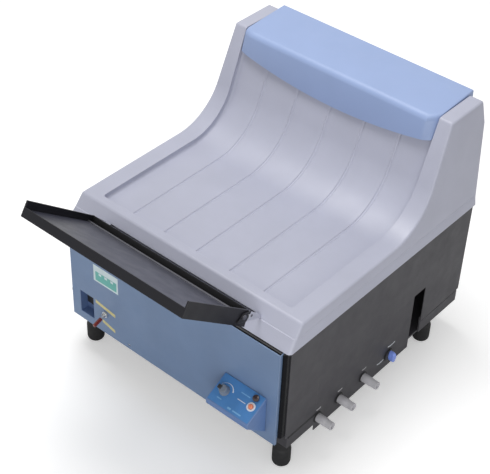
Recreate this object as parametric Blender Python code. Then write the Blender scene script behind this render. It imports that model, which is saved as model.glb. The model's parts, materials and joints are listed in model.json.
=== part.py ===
"""Benchtop dental x-ray film processor, modelled as the separate pieces that it comes apart into.

X runs to the machine's right, Y to its rear, Z up, all in metres. Inside this script the front panel's
face is the plane Y = 0, the machine's centreline is X = 0 and the ground is Z = 0. At the end the whole
machine is shifted so that the middle of its footprint is the origin.
"""
from math import atan2, cos, pi, radians, sin, sqrt, tan

import bmesh
import bpy
from mathutils import Matrix, Vector

# Clearances
GAP = 0.0003
RUNNING_GAP = 0.0004

# Case
CASE_HALF_WIDTH = 0.210
CASE_REAR = 0.450
SKIN_FRONT = 0.0145
SKIN_BOTTOM = 0.074
SKIN_TOP = 0.2434
SHEET = 0.0015
PAN_BOTTOM = 0.050
PAN_FLOOR = 0.003
PAN_WALL = 0.002
PAN_BAND_HEIGHT = 0.0205
PAN_INNER_RISE = 0.0100
PANEL_HALF_WIDTH = CASE_HALF_WIDTH - 0.0075
PANEL_BOTTOM = 0.068
PANEL_TOP = SKIN_TOP - 0.0009
PANEL_FLANGE = 0.012
POST_WIDTH = 0.0160
POST_FRONT = 0.0045

# Feet
FOOT_RADIUS = 0.0138
FOOT_X = CASE_HALF_WIDTH - 0.0185
FOOT_FRONT_Y = 0.033
FOOT_REAR_Y = CASE_REAR - 0.064

# Right-hand service panel and its fittings
NOTCH_FRONT = 0.083
NOTCH_REAR = CASE_REAR - 0.105
NOTCH_TOP = 0.1445
SERVICE_REAR = NOTCH_REAR - 0.027
SERVICE_BOTTOM = 0.0445
SERVICE_INSET = 0.0016
SERVICE_LIP = 0.012
SPIGOT_Y = (0.0900, 0.1405, 0.1990)
SPIGOT_Z = 0.0600
SPIGOT_BARREL_RADIUS = 0.0068
SPIGOT_TIP_RADIUS = 0.0056
SPIGOT_PIPE_RADIUS = 0.0046
SPIGOT_REACH = 0.0265
SPIGOT_DROOP = radians(7.0)
VALVE_Y = 0.264
VALVE_Z = 0.0600
VALVE_BODY_RADIUS = 0.0105
VALVE_KNOB_RADIUS = 0.0098
VALVE_KNOB_LENGTH = 0.0150

# Left-hand side knob
SIDE_KNOB_Y = 0.0260
SIDE_KNOB_Z = 0.0900
SIDE_KNOB_RADIUS = 0.0085
SIDE_KNOB_LENGTH = 0.0150

# Front recess and changeover toggle
RECESS_LEFT = -PANEL_HALF_WIDTH + 0.0175
RECESS_RIGHT = RECESS_LEFT + 0.0285
RECESS_TOP = 0.1245
RECESS_DEPTH = 0.016
TOGGLE_X = RECESS_RIGHT + 0.0260
TOGGLE_Z = 0.1085
TOGGLE_NUT_RADIUS = 0.0052
TOGGLE_LEVER_RADIUS = 0.0019
TOGGLE_SLEEVE_RADIUS = 0.0031
TOGGLE_LENGTH = 0.0235
TOGGLE_PIVOT = 0.0020
TOGGLE_TILT = radians(18.0)
PANEL_SLOT_X = RECESS_RIGHT + 0.0741
PANEL_SLOT_Z = 0.0757
PANEL_SLOT_WIDTH = 0.0060
PANEL_SLOT_HEIGHT = 0.0024

# Control pod
POD_RIGHT = PANEL_HALF_WIDTH - 0.0175
POD_LEFT = POD_RIGHT - 0.076
POD_TOP = 0.151
POD_REACH = 0.041
POD_DROP = 0.0215
POD_LIP = 0.009
POD_FOOT = 0.084
KNOB_X = POD_LEFT + 0.0172
KNOB_DOWN = 0.0235
KNOB_RADIUS = 0.0078
KNOB_HEIGHT = 0.0105
BUTTON_X = POD_RIGHT - 0.0119
START_DOWN = 0.0222
STOP_DOWN = 0.0090
START_RADIUS = 0.0042
STOP_RADIUS = 0.0044
BUTTON_PROUD = 0.0042
BUTTON_WELL = 0.0070

# Top cover
RIM_BOTTOM = SKIN_TOP + GAP
RIM_BAND = 0.0175
RIM_PROUD = 0.0016
RIM_TOP = RIM_BOTTOM + 0.0363
RIM_HALF_WIDTH = CASE_HALF_WIDTH + 0.0008
DRAFT = 0.055
COVER_FRONT = 0.009
FASCIA_TOP_Y = COVER_FRONT + 0.027
COVER_REAR = CASE_REAR + 0.0045
SWEEP_START = COVER_REAR - 0.2104
SWEEP_RADIUS = 0.090
SWEEP_ANGLE = radians(69.0)
CHEEK_TOP = RIM_TOP + 0.150
CHAMFER_DROP = 0.040
CHAMFER_DEPTH = 0.011
COVER_WALL = 0.003
BASIN_HALF_WIDTH = RIM_HALF_WIDTH - 0.0323
BASIN_FRONT = FASCIA_TOP_Y + 0.014
BASIN_DEPTH = 0.0095
BASIN_FILLET = 0.007
LANE_COUNT = 6
LANE_PITCH = (2 * BASIN_HALF_WIDTH + 0.015) / LANE_COUNT
GROOVE_RADIUS = 0.0026
GROOVE_DEPTH = 0.0009
BASIN_LIP = CHEEK_TOP - 0.030
TOWER_OPENING_REAR = COVER_REAR - 0.013
TOWER_REAR_TOP = CHEEK_TOP - 0.026
FEED_SLOT_HALF_WIDTH = BASIN_HALF_WIDTH - 0.0435
FEED_SLOT_LOW = RIM_TOP - 0.0180
FEED_SLOT_HIGH = RIM_TOP - 0.0100

# Hood
HOOD_HALF_WIDTH = BASIN_HALF_WIDTH - 0.0017
HOOD_TOP = CHEEK_TOP + 0.0045
HOOD_FOLD_Y = COVER_REAR - 0.099
HOOD_FRONT_Y = COVER_REAR - 0.108
HOOD_EDGE_CENTRE = HOOD_TOP - 0.058
HOOD_BOW = 0.019
HOOD_REAR = COVER_REAR - 0.0015
HOOD_SKIRT = 0.0225
HOOD_WALL = 0.0026
HOOD_FOLD_RADIUS = 0.007
HOOD_CORNER = 0.0021
HOOD_FACET_WIDTH = 0.0128
HOOD_FACET_LOW = 0.0050
HOOD_FACET_HIGH = 0.0150
HOOD_PIVOT_Y = HOOD_REAR - 0.0145
HOOD_PIVOT_Z = HOOD_TOP - 0.0120
HOOD_PIN_RADIUS = 0.0024

# Feed tray
TRAY_HALF_WIDTH = FEED_SLOT_HALF_WIDTH + 0.011
TRAY_LENGTH = 0.151
TRAY_DEPTH = 0.0205
TRAY_WALL = 0.0022
TRAY_DRAFT = 0.0012
TRAY_TILT = radians(37.5)
TRAY_LEDGE = 0.0060
TRAY_BACK_Y = -0.0105
TRAY_BACK_Z = RIM_TOP - 0.0040
TRAY_PIVOT_ALONG = 0.0090
TRAY_PIVOT_UP = 0.0080
TRAY_PIN_RADIUS = 0.0022
BRACKET_SHEET = 0.0018
BRACKET_NOSE = 0.0055
BRACKET_FOOT = 0.0100
BRACKET_LOW = RIM_BOTTOM + RIM_BAND + 0.0012
BRACKET_HIGH = RIM_TOP - 0.0040
BRACKET_TOE_START = 0.0140
BRACKET_TOE_END = 0.0170

# Processing tanks and film racks
TANK_HALF_WIDTH = CASE_HALF_WIDTH - 0.056
TANK_WALL = 0.003
TANK_TOP = 0.208
TANK_FLOOR = 0.012
RACK_COUNT = 3
RACK_PITCH = 0.086
RACK_FIRST_Y = 0.096
RACK_SIDE_TIE_Z = 0.165
RACK_MIDDLE_TIE_Z = 0.135
RACK_PLATE = 0.003
RACK_HALF_WIDTH = TANK_HALF_WIDTH - 0.0045
RACK_DEPTH = 0.066
RACK_BOTTOM = 0.082
RACK_TOP = 0.2360
ROLLER_Z = 0.2220
ROLLER_RADIUS = 0.0087
ROLLER_SHAFT = 0.0030
TURN_ROLLER_Z = 0.104
TURN_ROLLER_RADIUS = 0.0145
TIE_RADIUS = 0.0030

# Gear train
MODULE = 0.0015
ROLLER_TEETH = 12
IDLER_TEETH = 42
GEAR_WIDTH = 0.0050
GEAR_INNER_X = TANK_HALF_WIDTH + 0.0040
IDLER_AXLE_RADIUS = 0.0040

# Dryer
DRYER_HALF_WIDTH = RACK_HALF_WIDTH + 0.0005
DRYER_REAR = COVER_REAR - 0.0285
DRYER_FRONT = DRYER_REAR - 0.054
DRYER_TOP = CHEEK_TOP - 0.012
DRYER_TIE_Z = 0.300
EXIT_Y = DRYER_FRONT + 0.013
EXIT_LOW_Z = CHEEK_TOP - 0.036
HEATER_Z = 0.230
HEATER_RADIUS = 0.013
HEATER_FINS = 6
BELT_PULLEY_RADIUS = 0.0065
BELT_X = GEAR_INNER_X + 0.0110
BELT_WIDTH = 0.0040
BELT_THICKNESS = 0.0012

# Drive motor
MOTOR_RADIUS = 0.0170
MOTOR_LENGTH = 0.060
PINION_ANGLE = radians(-24.0)

# Dryer fan
FAN_X = 0.060
FAN_Z = 0.131
FAN_RADIUS = 0.0370
FAN_FRAME = 0.0400
FAN_DEPTH = 0.0250
FAN_BLADES = 7

# Rear panel services
INLET_X = -CASE_HALF_WIDTH + 0.060
INLET_Z = 0.105
INLET_WIDTH = 0.0270
INLET_HEIGHT = 0.0200

# Circulation pump and control board
PUMP_X = -0.030
PUMP_RADIUS = 0.0140
PUMP_HEIGHT = 0.064
BOARD_X = 0.020
BOARD_WIDTH = 0.095
BOARD_HEIGHT = 0.075
BOARD_SHEET = 0.0016

# Pieces round a circle
MEDIUM = 16
COARSE = 12
ROUGH = 8

TRAY_OUT = Vector((0.0, -cos(TRAY_TILT), sin(TRAY_TILT)))
TRAY_UP = Vector((0.0, sin(TRAY_TILT), cos(TRAY_TILT)))
POD_SLOPE = atan2(POD_DROP, POD_REACH)
POD_NORMAL = Vector((0.0, -sin(POD_SLOPE), cos(POD_SLOPE)))
POD_DOWN = Vector((0.0, -cos(POD_SLOPE), -sin(POD_SLOPE)))


# Scene and materials

def clear_scene():
    """Remove every object of the opened scene."""
    for obj in list(bpy.data.objects):
        bpy.data.objects.remove(obj, do_unlink=True)


def material(name, colour, roughness, metallic=0.0):
    """Return a Principled material."""
    mat = bpy.data.materials.new(name)
    mat.use_nodes = True
    shader = mat.node_tree.nodes["Principled BSDF"]
    shader.inputs["Base Color"].default_value = (*colour, 1.0)
    shader.inputs["Roughness"].default_value = roughness
    shader.inputs["Metallic"].default_value = metallic
    return mat


def make_materials():
    """Return the machine's materials by name."""
    return {
        "cover": material("cover", (0.50, 0.50, 0.61), 0.45),
        "hood": material("hood", (0.33, 0.43, 0.68), 0.40),
        "panel_blue": material("panel_blue", (0.14, 0.19, 0.30), 0.50),
        "case_grey": material("case_grey", (0.075, 0.075, 0.082), 0.55),
        "black_plastic": material("black_plastic", (0.012, 0.012, 0.014), 0.50),
        "rubber": material("rubber", (0.015, 0.015, 0.016), 0.85),
        "tray": material("tray", (0.045, 0.045, 0.050), 0.50),
        "hose_grey": material("hose_grey", (0.36, 0.36, 0.36), 0.50),
        "valve_blue": material("valve_blue", (0.06, 0.13, 0.62), 0.35),
        "steel": material("steel", (0.60, 0.60, 0.62), 0.30, 1.0),
        "sleeve_red": material("sleeve_red", (0.38, 0.02, 0.01), 0.40),
        "button_orange": material("button_orange", (0.80, 0.16, 0.05), 0.30),
        "knob_grey": material("knob_grey", (0.28, 0.28, 0.27), 0.40),
        "tank": material("tank", (0.05, 0.05, 0.055), 0.45),
        "rack": material("rack", (0.62, 0.61, 0.56), 0.50),
        "roller": material("roller", (0.42, 0.30, 0.18), 0.60),
        "gear": material("gear", (0.75, 0.74, 0.68), 0.45),
        "board": material("board", (0.02, 0.20, 0.08), 0.50),
    }


# Mesh building

def finish_object(name, bm, mat, location=(0.0, 0.0, 0.0), smooth_angle=None):
    """Turn a bmesh, given in machine coordinates, into an object whose origin is at location."""
    place = Vector(location)
    bmesh.ops.recalc_face_normals(bm, faces=bm.faces[:])
    bmesh.ops.translate(bm, verts=bm.verts[:], vec=-place)
    mesh = bpy.data.meshes.new(name)
    bm.to_mesh(mesh)
    bm.free()
    obj = bpy.data.objects.new(name, mesh)
    bpy.context.scene.collection.objects.link(obj)
    obj.location = place
    if mat is not None:
        mesh.materials.append(mat)
    if smooth_angle is not None:
        mesh.shade_smooth()
        mesh.set_sharp_from_angle(angle=smooth_angle)
    return obj


def add_box(bm, low, high):
    """Add a box between two corners and return its vertices."""
    size = Vector(high) - Vector(low)
    middle = (Vector(high) + Vector(low)) / 2
    matrix = Matrix.Translation(middle) @ Matrix.Diagonal((*size, 1.0))
    return bmesh.ops.create_cube(bm, size=1.0, matrix=matrix)["verts"]


def add_prism(bm, outline, start, end, place):
    """Add a prism: outline is a list of 2-D points and place(u, v, w) gives their 3-D points."""
    first = [bm.verts.new(place(u, v, start)) for u, v in outline]
    face = bm.faces.new(first)
    swept = bmesh.ops.extrude_face_region(bm, geom=[face])["geom"]
    last = [item for item in swept if isinstance(item, bmesh.types.BMVert)]
    shift = Vector(place(0.0, 0.0, end)) - Vector(place(0.0, 0.0, start))
    bmesh.ops.translate(bm, verts=last, vec=shift)
    return first + last


def along_x(u, v, w):
    """Put an outline in the (Y, Z) plane, swept along X."""
    return (w, u, v)


def along_z(u, v, w):
    """Put an outline in the (X, Y) plane, swept along Z."""
    return (u, v, w)


def add_turned(bm, profile, base, axis, segments):
    """Add a solid turned about an axis: profile holds (radius, distance along the axis) points."""
    direction = Vector(axis).normalized()
    side = direction.orthogonal().normalized()
    origin = Vector(base)
    chain = [bm.verts.new(origin + direction * along + side * radius) for radius, along in profile]
    edges = [bm.edges.new(pair) for pair, radii in zip(zip(chain, chain[1:]), zip(profile, profile[1:]))
             if radii[0][0] > 0.0 or radii[1][0] > 0.0]
    bmesh.ops.spin(bm, geom=chain + edges, cent=origin, axis=direction, angle=2 * pi, steps=segments,
                   use_duplicate=False)
    bmesh.ops.remove_doubles(bm, verts=bm.verts[:], dist=1e-6)


def add_shell_loops(bm, loops):
    """Join a list of closed vertex loops by quads and cap the first and the last."""
    rings = [[bm.verts.new(point) for point in loop] for loop in loops]
    for lower, upper in zip(rings, rings[1:]):
        count = len(lower)
        for index in range(count):
            after = (index + 1) % count
            bm.faces.new((lower[index], lower[after], upper[after], upper[index]))
    bm.faces.new(rings[0])
    bm.faces.new(rings[-1])


def rectangle(x_low, x_high, y_low, y_high, z):
    """Return a level rectangular loop."""
    return [(x_low, y_low, z), (x_high, y_low, z), (x_high, y_high, z), (x_low, y_high, z)]


def arc(centre_u, centre_v, radius, start, end, steps):
    """Return points along an arc, both ends included."""
    angles = [start + (end - start) * step / steps for step in range(steps + 1)]
    return [(centre_u + radius * cos(angle), centre_v + radius * sin(angle)) for angle in angles]


def combine(target, tool, operation):
    """Add an exact Boolean of tool to target and hide the tool."""
    tool.hide_render = True
    tool.display_type = "WIRE"
    tool.hide_set(True)
    modifier = target.modifiers.new(tool.name, "BOOLEAN")
    modifier.operation = operation
    modifier.solver = "EXACT"
    modifier.object = tool
    tool.parent = target
    tool.matrix_parent_inverse = Matrix.Translation(target.location).inverted()


def round_edges(obj, width, segments, angle=radians(40.0)):
    """Add a Bevel modifier that rounds the sharp edges."""
    modifier = obj.modifiers.new("rounded_edges", "BEVEL")
    modifier.width = width
    modifier.segments = segments
    modifier.limit_method = "ANGLE"
    modifier.angle_limit = angle
    modifier.use_clamp_overlap = True


def turned_tool(name, radius, base, axis, length, segments=COARSE):
    """Return a round cutter or joining piece."""
    bm = bmesh.new()
    add_turned(bm, [(0.0, 0.0), (radius, 0.0), (radius, length), (0.0, length)], base, axis, segments)
    return finish_object(name, bm, None)


def box_tool(name, low, high):
    """Return a box cutter or joining piece."""
    bm = bmesh.new()
    add_box(bm, low, high)
    return finish_object(name, bm, None)


# Case

def make_base_pan(mats):
    """The folded pan that carries everything: floor, proud outer band and inner upstand."""
    half = CASE_HALF_WIDTH - SHEET + PAN_WALL / 4
    inner = CASE_HALF_WIDTH - SHEET - GAP
    step = half - inner
    front = POST_FRONT
    rear = CASE_REAR - SHEET - GAP
    band_top = PAN_BOTTOM + PAN_BAND_HEIGHT
    rise_top = band_top + PAN_INNER_RISE
    floor_top = PAN_BOTTOM + PAN_FLOOR
    bm = bmesh.new()
    add_shell_loops(bm, [
        rectangle(-half, half, front, rear, PAN_BOTTOM),
        rectangle(-half, half, front, rear, band_top),
        rectangle(-inner, inner, front + step, rear - step, band_top),
        rectangle(-inner, inner, front + step, rear - step, rise_top),
        rectangle(-inner + PAN_WALL, inner - PAN_WALL, front + PAN_WALL, rear - PAN_WALL, rise_top),
        rectangle(-inner + PAN_WALL, inner - PAN_WALL, front + PAN_WALL, rear - PAN_WALL, floor_top),
    ])
    pan = finish_object("base_pan", bm, mats["case_grey"])
    notch = box_tool("base_pan_notch", (inner - 2 * PAN_WALL, NOTCH_FRONT - GAP, floor_top + GAP),
                     (half + PAN_WALL, NOTCH_REAR, rise_top + PAN_WALL))
    combine(pan, notch, "DIFFERENCE")
    panel_inner = CASE_HALF_WIDTH - SERVICE_INSET - SHEET
    slit = box_tool("base_pan_slit", (panel_inner - GAP, NOTCH_FRONT - GAP, PAN_BOTTOM - PAN_FLOOR),
                    (half + PAN_WALL, NOTCH_REAR, rise_top + PAN_WALL))
    combine(pan, slit, "DIFFERENCE")


def make_feet(mats):
    """Four turned rubber feet under the pan."""
    height = PAN_BOTTOM - GAP
    profile = [(0.0, 0.0), (FOOT_RADIUS * 0.72, 0.0), (FOOT_RADIUS * 0.95, 0.0025), (FOOT_RADIUS, 0.006),
               (FOOT_RADIUS, height * 0.62), (FOOT_RADIUS * 0.82, height * 0.68),
               (FOOT_RADIUS * 0.82, height), (0.0, height)]
    for end, y in (("front", FOOT_FRONT_Y), ("rear", FOOT_REAR_Y)):
        for side, sign in (("left", -1), ("right", 1)):
            bm = bmesh.new()
            base = (sign * FOOT_X, y, 0.0)
            add_turned(bm, profile, base, (0, 0, 1), MEDIUM)
            finish_object(f"foot_{end}_{side}", bm, mats["rubber"], base, radians(35))


def make_side_panels(mats):
    """The two side skins, each with a turned-in front and rear flange."""
    outer = CASE_HALF_WIDTH
    inner = outer - SHEET
    flange = 0.010
    rear = CASE_REAR - SHEET - GAP
    outline = [(inner - flange, SKIN_FRONT), (outer, SKIN_FRONT), (outer, rear), (inner - flange, rear),
               (inner - flange, rear - SHEET), (inner, rear - SHEET), (inner, SKIN_FRONT + SHEET),
               (inner - flange, SKIN_FRONT + SHEET)]
    lowest = SKIN_BOTTOM
    pan_top = PAN_BOTTOM + PAN_BAND_HEIGHT + PAN_INNER_RISE
    for side, sign in (("left", -1), ("right", 1)):
        bm = bmesh.new()
        mirrored = [(sign * x, y) for x, y in outline]
        add_prism(bm, mirrored, lowest, SKIN_TOP, along_z)
        skin = finish_object(f"side_panel_{side}", bm, mats["case_grey"])
        for end, y in (("front", SKIN_FRONT), ("rear", rear)):
            relief = box_tool(f"side_panel_{side}_{end}_relief",
                              (sign * (inner - 2 * flange), y - 3 * SHEET, lowest - SHEET),
                              (sign * inner, y + 3 * SHEET, pan_top + GAP))
            combine(skin, relief, "DIFFERENCE")
        if side == "right":
            notch = box_tool("side_panel_notch", (inner - SHEET, NOTCH_FRONT, lowest - SHEET),
                             (outer + SHEET, NOTCH_REAR, NOTCH_TOP))
            combine(skin, notch, "DIFFERENCE")


def make_side_knob(mats):
    """The black fluted hand knob that holds the left skin's lower front corner."""
    base = (-CASE_HALF_WIDTH - GAP, SIDE_KNOB_Y, SIDE_KNOB_Z)
    radius = SIDE_KNOB_RADIUS
    length = SIDE_KNOB_LENGTH
    bm = bmesh.new()
    add_turned(bm, [(0.0, 0.0), (radius * 0.6, 0.0), (radius * 0.6, length * 0.25), (radius, length * 0.35),
                    (radius, length * 0.85), (radius * 0.85, length), (0.0, length)], base, (-1, 0, 0),
               COARSE)
    finish_object("side_knob", bm, mats["black_plastic"], base, radians(35))


def make_corner_posts(mats):
    """The two black corner posts between the front panel and the side skins."""
    outer = CASE_HALF_WIDTH - SHEET
    rear = SKIN_FRONT - GAP
    bottom = PAN_BOTTOM + PAN_BAND_HEIGHT + PAN_INNER_RISE + GAP
    for side, sign in (("left", -1), ("right", 1)):
        bm = bmesh.new()
        inner = PANEL_HALF_WIDTH + GAP
        outline = [(inner, POST_FRONT), (outer - 0.003, POST_FRONT), (outer, POST_FRONT + 0.003),
                   (outer, rear),
                   (outer - POST_WIDTH, rear), (outer - POST_WIDTH, rear - SHEET), (inner, rear - SHEET)]
        mirrored = [(sign * x, y) for x, y in outline]
        add_prism(bm, mirrored, bottom, SKIN_TOP, along_z)
        finish_object(f"corner_post_{side}", bm, mats["black_plastic"])


def make_rear_panel(mats):
    """The rear panel with a fan grille, an exhaust louvre block and the mains inlet's cut-out."""
    bm = bmesh.new()
    front = CASE_REAR - SHEET
    add_box(bm, (-CASE_HALF_WIDTH, front, SKIN_BOTTOM), (CASE_HALF_WIDTH, CASE_REAR, SKIN_TOP))
    panel = finish_object("rear_panel", bm, mats["case_grey"])
    slots = bmesh.new()
    slot_pitch = 0.0085
    slot_half = 0.0022
    rows = 7
    for row in range(rows):
        level = (row - (rows - 1) / 2) * slot_pitch
        reach = sqrt((FAN_RADIUS - 0.002) ** 2 - level ** 2)
        add_box(slots, (FAN_X - reach, front - SHEET, FAN_Z + level - slot_half),
                (FAN_X + reach, CASE_REAR + SHEET, FAN_Z + level + slot_half))
    combine(panel, finish_object("rear_panel_slots", slots, None), "DIFFERENCE")
    inlet = box_tool("rear_panel_inlet_hole",
                     (INLET_X - INLET_WIDTH / 2 - GAP, front - SHEET, INLET_Z - INLET_HEIGHT / 2 - GAP),
                     (INLET_X + INLET_WIDTH / 2 + GAP, CASE_REAR + SHEET, INLET_Z + INLET_HEIGHT / 2 + GAP))
    combine(panel, inlet, "DIFFERENCE")


def make_mains_inlet(mats):
    """The flanged mains inlet with its three-pin well."""
    bm = bmesh.new()
    flange = 0.004
    thick = 0.003
    face = CASE_REAR + GAP
    half_w = INLET_WIDTH / 2
    half_h = INLET_HEIGHT / 2
    body_depth = 0.018
    loops = [
        (half_w, half_h, face + GAP - body_depth),
        (half_w, half_h, face),
        (half_w + flange, half_h + flange, face),
        (half_w + flange, half_h + flange, face + thick),
        (half_w - 0.002, half_h - 0.002, face + thick),
        (half_w - 0.002, half_h - 0.002, face - body_depth * 0.7),
    ]
    rings = [[(INLET_X - w, y, INLET_Z - h), (INLET_X + w, y, INLET_Z - h),
              (INLET_X + w, y, INLET_Z + h), (INLET_X - w, y, INLET_Z + h)] for w, h, y in loops]
    add_shell_loops(bm, rings)
    inlet = finish_object("mains_inlet", bm, mats["black_plastic"])
    pins = bmesh.new()
    well = face - body_depth * 0.7
    for x, z in ((-0.006, -0.003), (0.006, -0.003), (0.0, 0.003)):
        add_box(pins, (INLET_X + x - 0.001, well - 0.001, INLET_Z + z - 0.002),
                (INLET_X + x + 0.001, face, INLET_Z + z + 0.002))
    combine(inlet, finish_object("mains_inlet_pins", pins, None), "UNION")


def make_front_panel(mats):
    """The blue front panel: a folded sheet with a pressed pocket and its port at the lower left."""
    side = PANEL_HALF_WIDTH
    outline = [(-side, 0.0), (side, 0.0), (side, PANEL_FLANGE), (side - SHEET, PANEL_FLANGE),
               (side - SHEET, SHEET),
               (-side + SHEET, SHEET), (-side + SHEET, PANEL_FLANGE), (-side, PANEL_FLANGE)]
    bm = bmesh.new()
    add_prism(bm, outline, PANEL_BOTTOM, PANEL_TOP, along_z)
    panel = finish_object("front_panel", bm, mats["panel_blue"])
    pan_top = PAN_BOTTOM + PAN_BAND_HEIGHT + PAN_INNER_RISE
    relief = box_tool("front_panel_relief", (-side - SHEET, POST_FRONT - GAP, PANEL_BOTTOM - SHEET),
                      (side + SHEET, PANEL_FLANGE + SHEET, pan_top + GAP))
    combine(panel, relief, "DIFFERENCE")
    pocket_floor = pan_top + 2 * GAP
    pocket = box_tool("front_panel_pocket", (RECESS_LEFT - SHEET, SHEET / 2, pocket_floor),
                      (RECESS_RIGHT + SHEET, RECESS_DEPTH, RECESS_TOP + SHEET))
    combine(panel, pocket, "UNION")
    recess = box_tool("front_panel_recess", (RECESS_LEFT, -SHEET, pocket_floor + SHEET),
                      (RECESS_RIGHT, RECESS_DEPTH - SHEET, RECESS_TOP))
    combine(panel, recess, "DIFFERENCE")
    port_left = (RECESS_LEFT + RECESS_RIGHT) / 2
    port = box_tool("front_panel_port",
                    (port_left, RECESS_DEPTH - 2 * SHEET, (pocket_floor + RECESS_TOP) / 2),
                    (RECESS_RIGHT - SHEET, RECESS_DEPTH + SHEET, RECESS_TOP - SHEET))
    combine(panel, port, "DIFFERENCE")
    hole = turned_tool("front_panel_toggle_hole", TOGGLE_NUT_RADIUS * 0.7 + RUNNING_GAP,
                       (TOGGLE_X, -SHEET, TOGGLE_Z), (0, 1, 0), 3 * SHEET)
    combine(panel, hole, "DIFFERENCE")
    slot = box_tool("front_panel_slot",
                    (PANEL_SLOT_X - PANEL_SLOT_WIDTH / 2, -SHEET, PANEL_SLOT_Z - PANEL_SLOT_HEIGHT / 2),
                    (PANEL_SLOT_X + PANEL_SLOT_WIDTH / 2, 2 * SHEET, PANEL_SLOT_Z + PANEL_SLOT_HEIGHT / 2))
    combine(panel, slot, "DIFFERENCE")


def make_toggle(mats):
    """The changeover toggle: threaded bushing with its nut, swinging lever and red sleeve."""
    base = Vector((TOGGLE_X, 0.0, TOGGLE_Z))
    outward = Vector((0.0, -1.0, 0.0))
    nut = TOGGLE_NUT_RADIUS
    neck = nut * 0.7
    bore = TOGGLE_LEVER_RADIUS + 0.0013
    depth = 0.012
    bm = bmesh.new()
    profile = [(0.0, -depth), (neck, -depth), (neck, GAP), (nut, GAP), (nut, 0.0028), (neck, 0.0028),
               (neck, 0.0055), (bore, 0.0055), (bore, -depth * 0.6), (0.0, -depth * 0.6)]
    add_turned(bm, profile, base, outward, COARSE)
    finish_object("toggle_bushing", bm, mats["steel"], base, radians(35))
    pivot = base + outward * TOGGLE_PIVOT
    ball = bore - GAP
    lean = Vector((0.0, -cos(TOGGLE_TILT), -sin(TOGGLE_TILT)))
    thin = TOGGLE_LEVER_RADIUS * 0.75
    bm = bmesh.new()
    add_turned(bm, [(0.0, -ball), (ball * 0.7, -ball * 0.7), (ball, 0.0), (ball * 0.7, ball * 0.7),
                    (thin, ball * 0.9), (thin, 0.005), (TOGGLE_LEVER_RADIUS, 0.008),
                    (TOGGLE_LEVER_RADIUS, TOGGLE_LENGTH - 0.001), (0.0, TOGGLE_LENGTH - 0.001)],
               pivot, lean, COARSE)
    finish_object("toggle_lever", bm, mats["steel"], pivot, radians(35))
    inner = TOGGLE_LEVER_RADIUS + GAP
    outer = TOGGLE_SLEEVE_RADIUS
    cap_inside = TOGGLE_LENGTH - 0.001 + GAP
    bm = bmesh.new()
    add_turned(bm, [(inner, 0.0085), (outer * 0.9, 0.0085), (outer, 0.0100), (outer, TOGGLE_LENGTH - 0.0004),
                    (outer * 0.6, TOGGLE_LENGTH + 0.0012), (0.0, TOGGLE_LENGTH + 0.0012),
                    (0.0, cap_inside), (inner, cap_inside), (inner, 0.0085)], pivot, lean, COARSE)
    finish_object("toggle_sleeve", bm, mats["sleeve_red"], pivot, radians(35))


def make_service_panel(mats):
    """The lower right panel that carries the drain spigots and the inlet valve."""
    outer = CASE_HALF_WIDTH - SERVICE_INSET
    inner = outer - SHEET
    front = NOTCH_FRONT + GAP
    bm = bmesh.new()
    add_box(bm, (inner, front, SERVICE_BOTTOM), (outer, SERVICE_REAR, NOTCH_TOP - GAP))
    panel = finish_object("service_panel", bm, mats["case_grey"])
    lip_top = PAN_BOTTOM - GAP
    lip = box_tool("service_panel_lip", (inner - SERVICE_LIP, front, lip_top - SHEET),
                   (inner + SHEET / 2, SERVICE_REAR, lip_top))
    combine(panel, lip, "UNION")
    for number, y in enumerate(SPIGOT_Y, start=1):
        hole = turned_tool(f"service_panel_hole_{number}", SPIGOT_PIPE_RADIUS + RUNNING_GAP,
                           (inner - SHEET, y, SPIGOT_Z), (1, 0, 0), 3 * SHEET)
        combine(panel, hole, "DIFFERENCE")
    valve = turned_tool("service_panel_valve_hole", VALVE_BODY_RADIUS * 0.6 + RUNNING_GAP,
                        (inner - SHEET, VALVE_Y, VALVE_Z), (1, 0, 0), 3 * SHEET)
    combine(panel, valve, "DIFFERENCE")


def make_drain_spigots(mats):
    """Three drain spigots: a pipe from the tank, a collar and a drooping hose barrel."""
    start = TANK_HALF_WIDTH + GAP
    face = CASE_HALF_WIDTH - SERVICE_INSET + GAP
    tip = CASE_HALF_WIDTH + SPIGOT_REACH
    barrel = SPIGOT_BARREL_RADIUS
    for number, y in enumerate(SPIGOT_Y, start=1):
        bm = bmesh.new()
        base = Vector((0.0, y, SPIGOT_Z))
        profile = [(0.0, start), (SPIGOT_PIPE_RADIUS, start), (SPIGOT_PIPE_RADIUS, face),
                   (barrel * 0.8, face),
                   (barrel, face + 0.0015), (barrel, tip - 0.010), (SPIGOT_TIP_RADIUS, tip - 0.009),
                   (SPIGOT_TIP_RADIUS, tip), (SPIGOT_TIP_RADIUS * 0.62, tip),
                   (SPIGOT_TIP_RADIUS * 0.62, tip - 0.012), (0.0, tip - 0.012)]
        add_turned(bm, profile, base, (1, 0, 0), COARSE)
        for vert in bm.verts:
            beyond = vert.co.x - face
            if beyond > 0.0:
                vert.co.z -= beyond * tan(SPIGOT_DROOP)
        finish_object(f"drain_spigot_{number}", bm, mats["hose_grey"], (face, y, SPIGOT_Z), radians(35))


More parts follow.
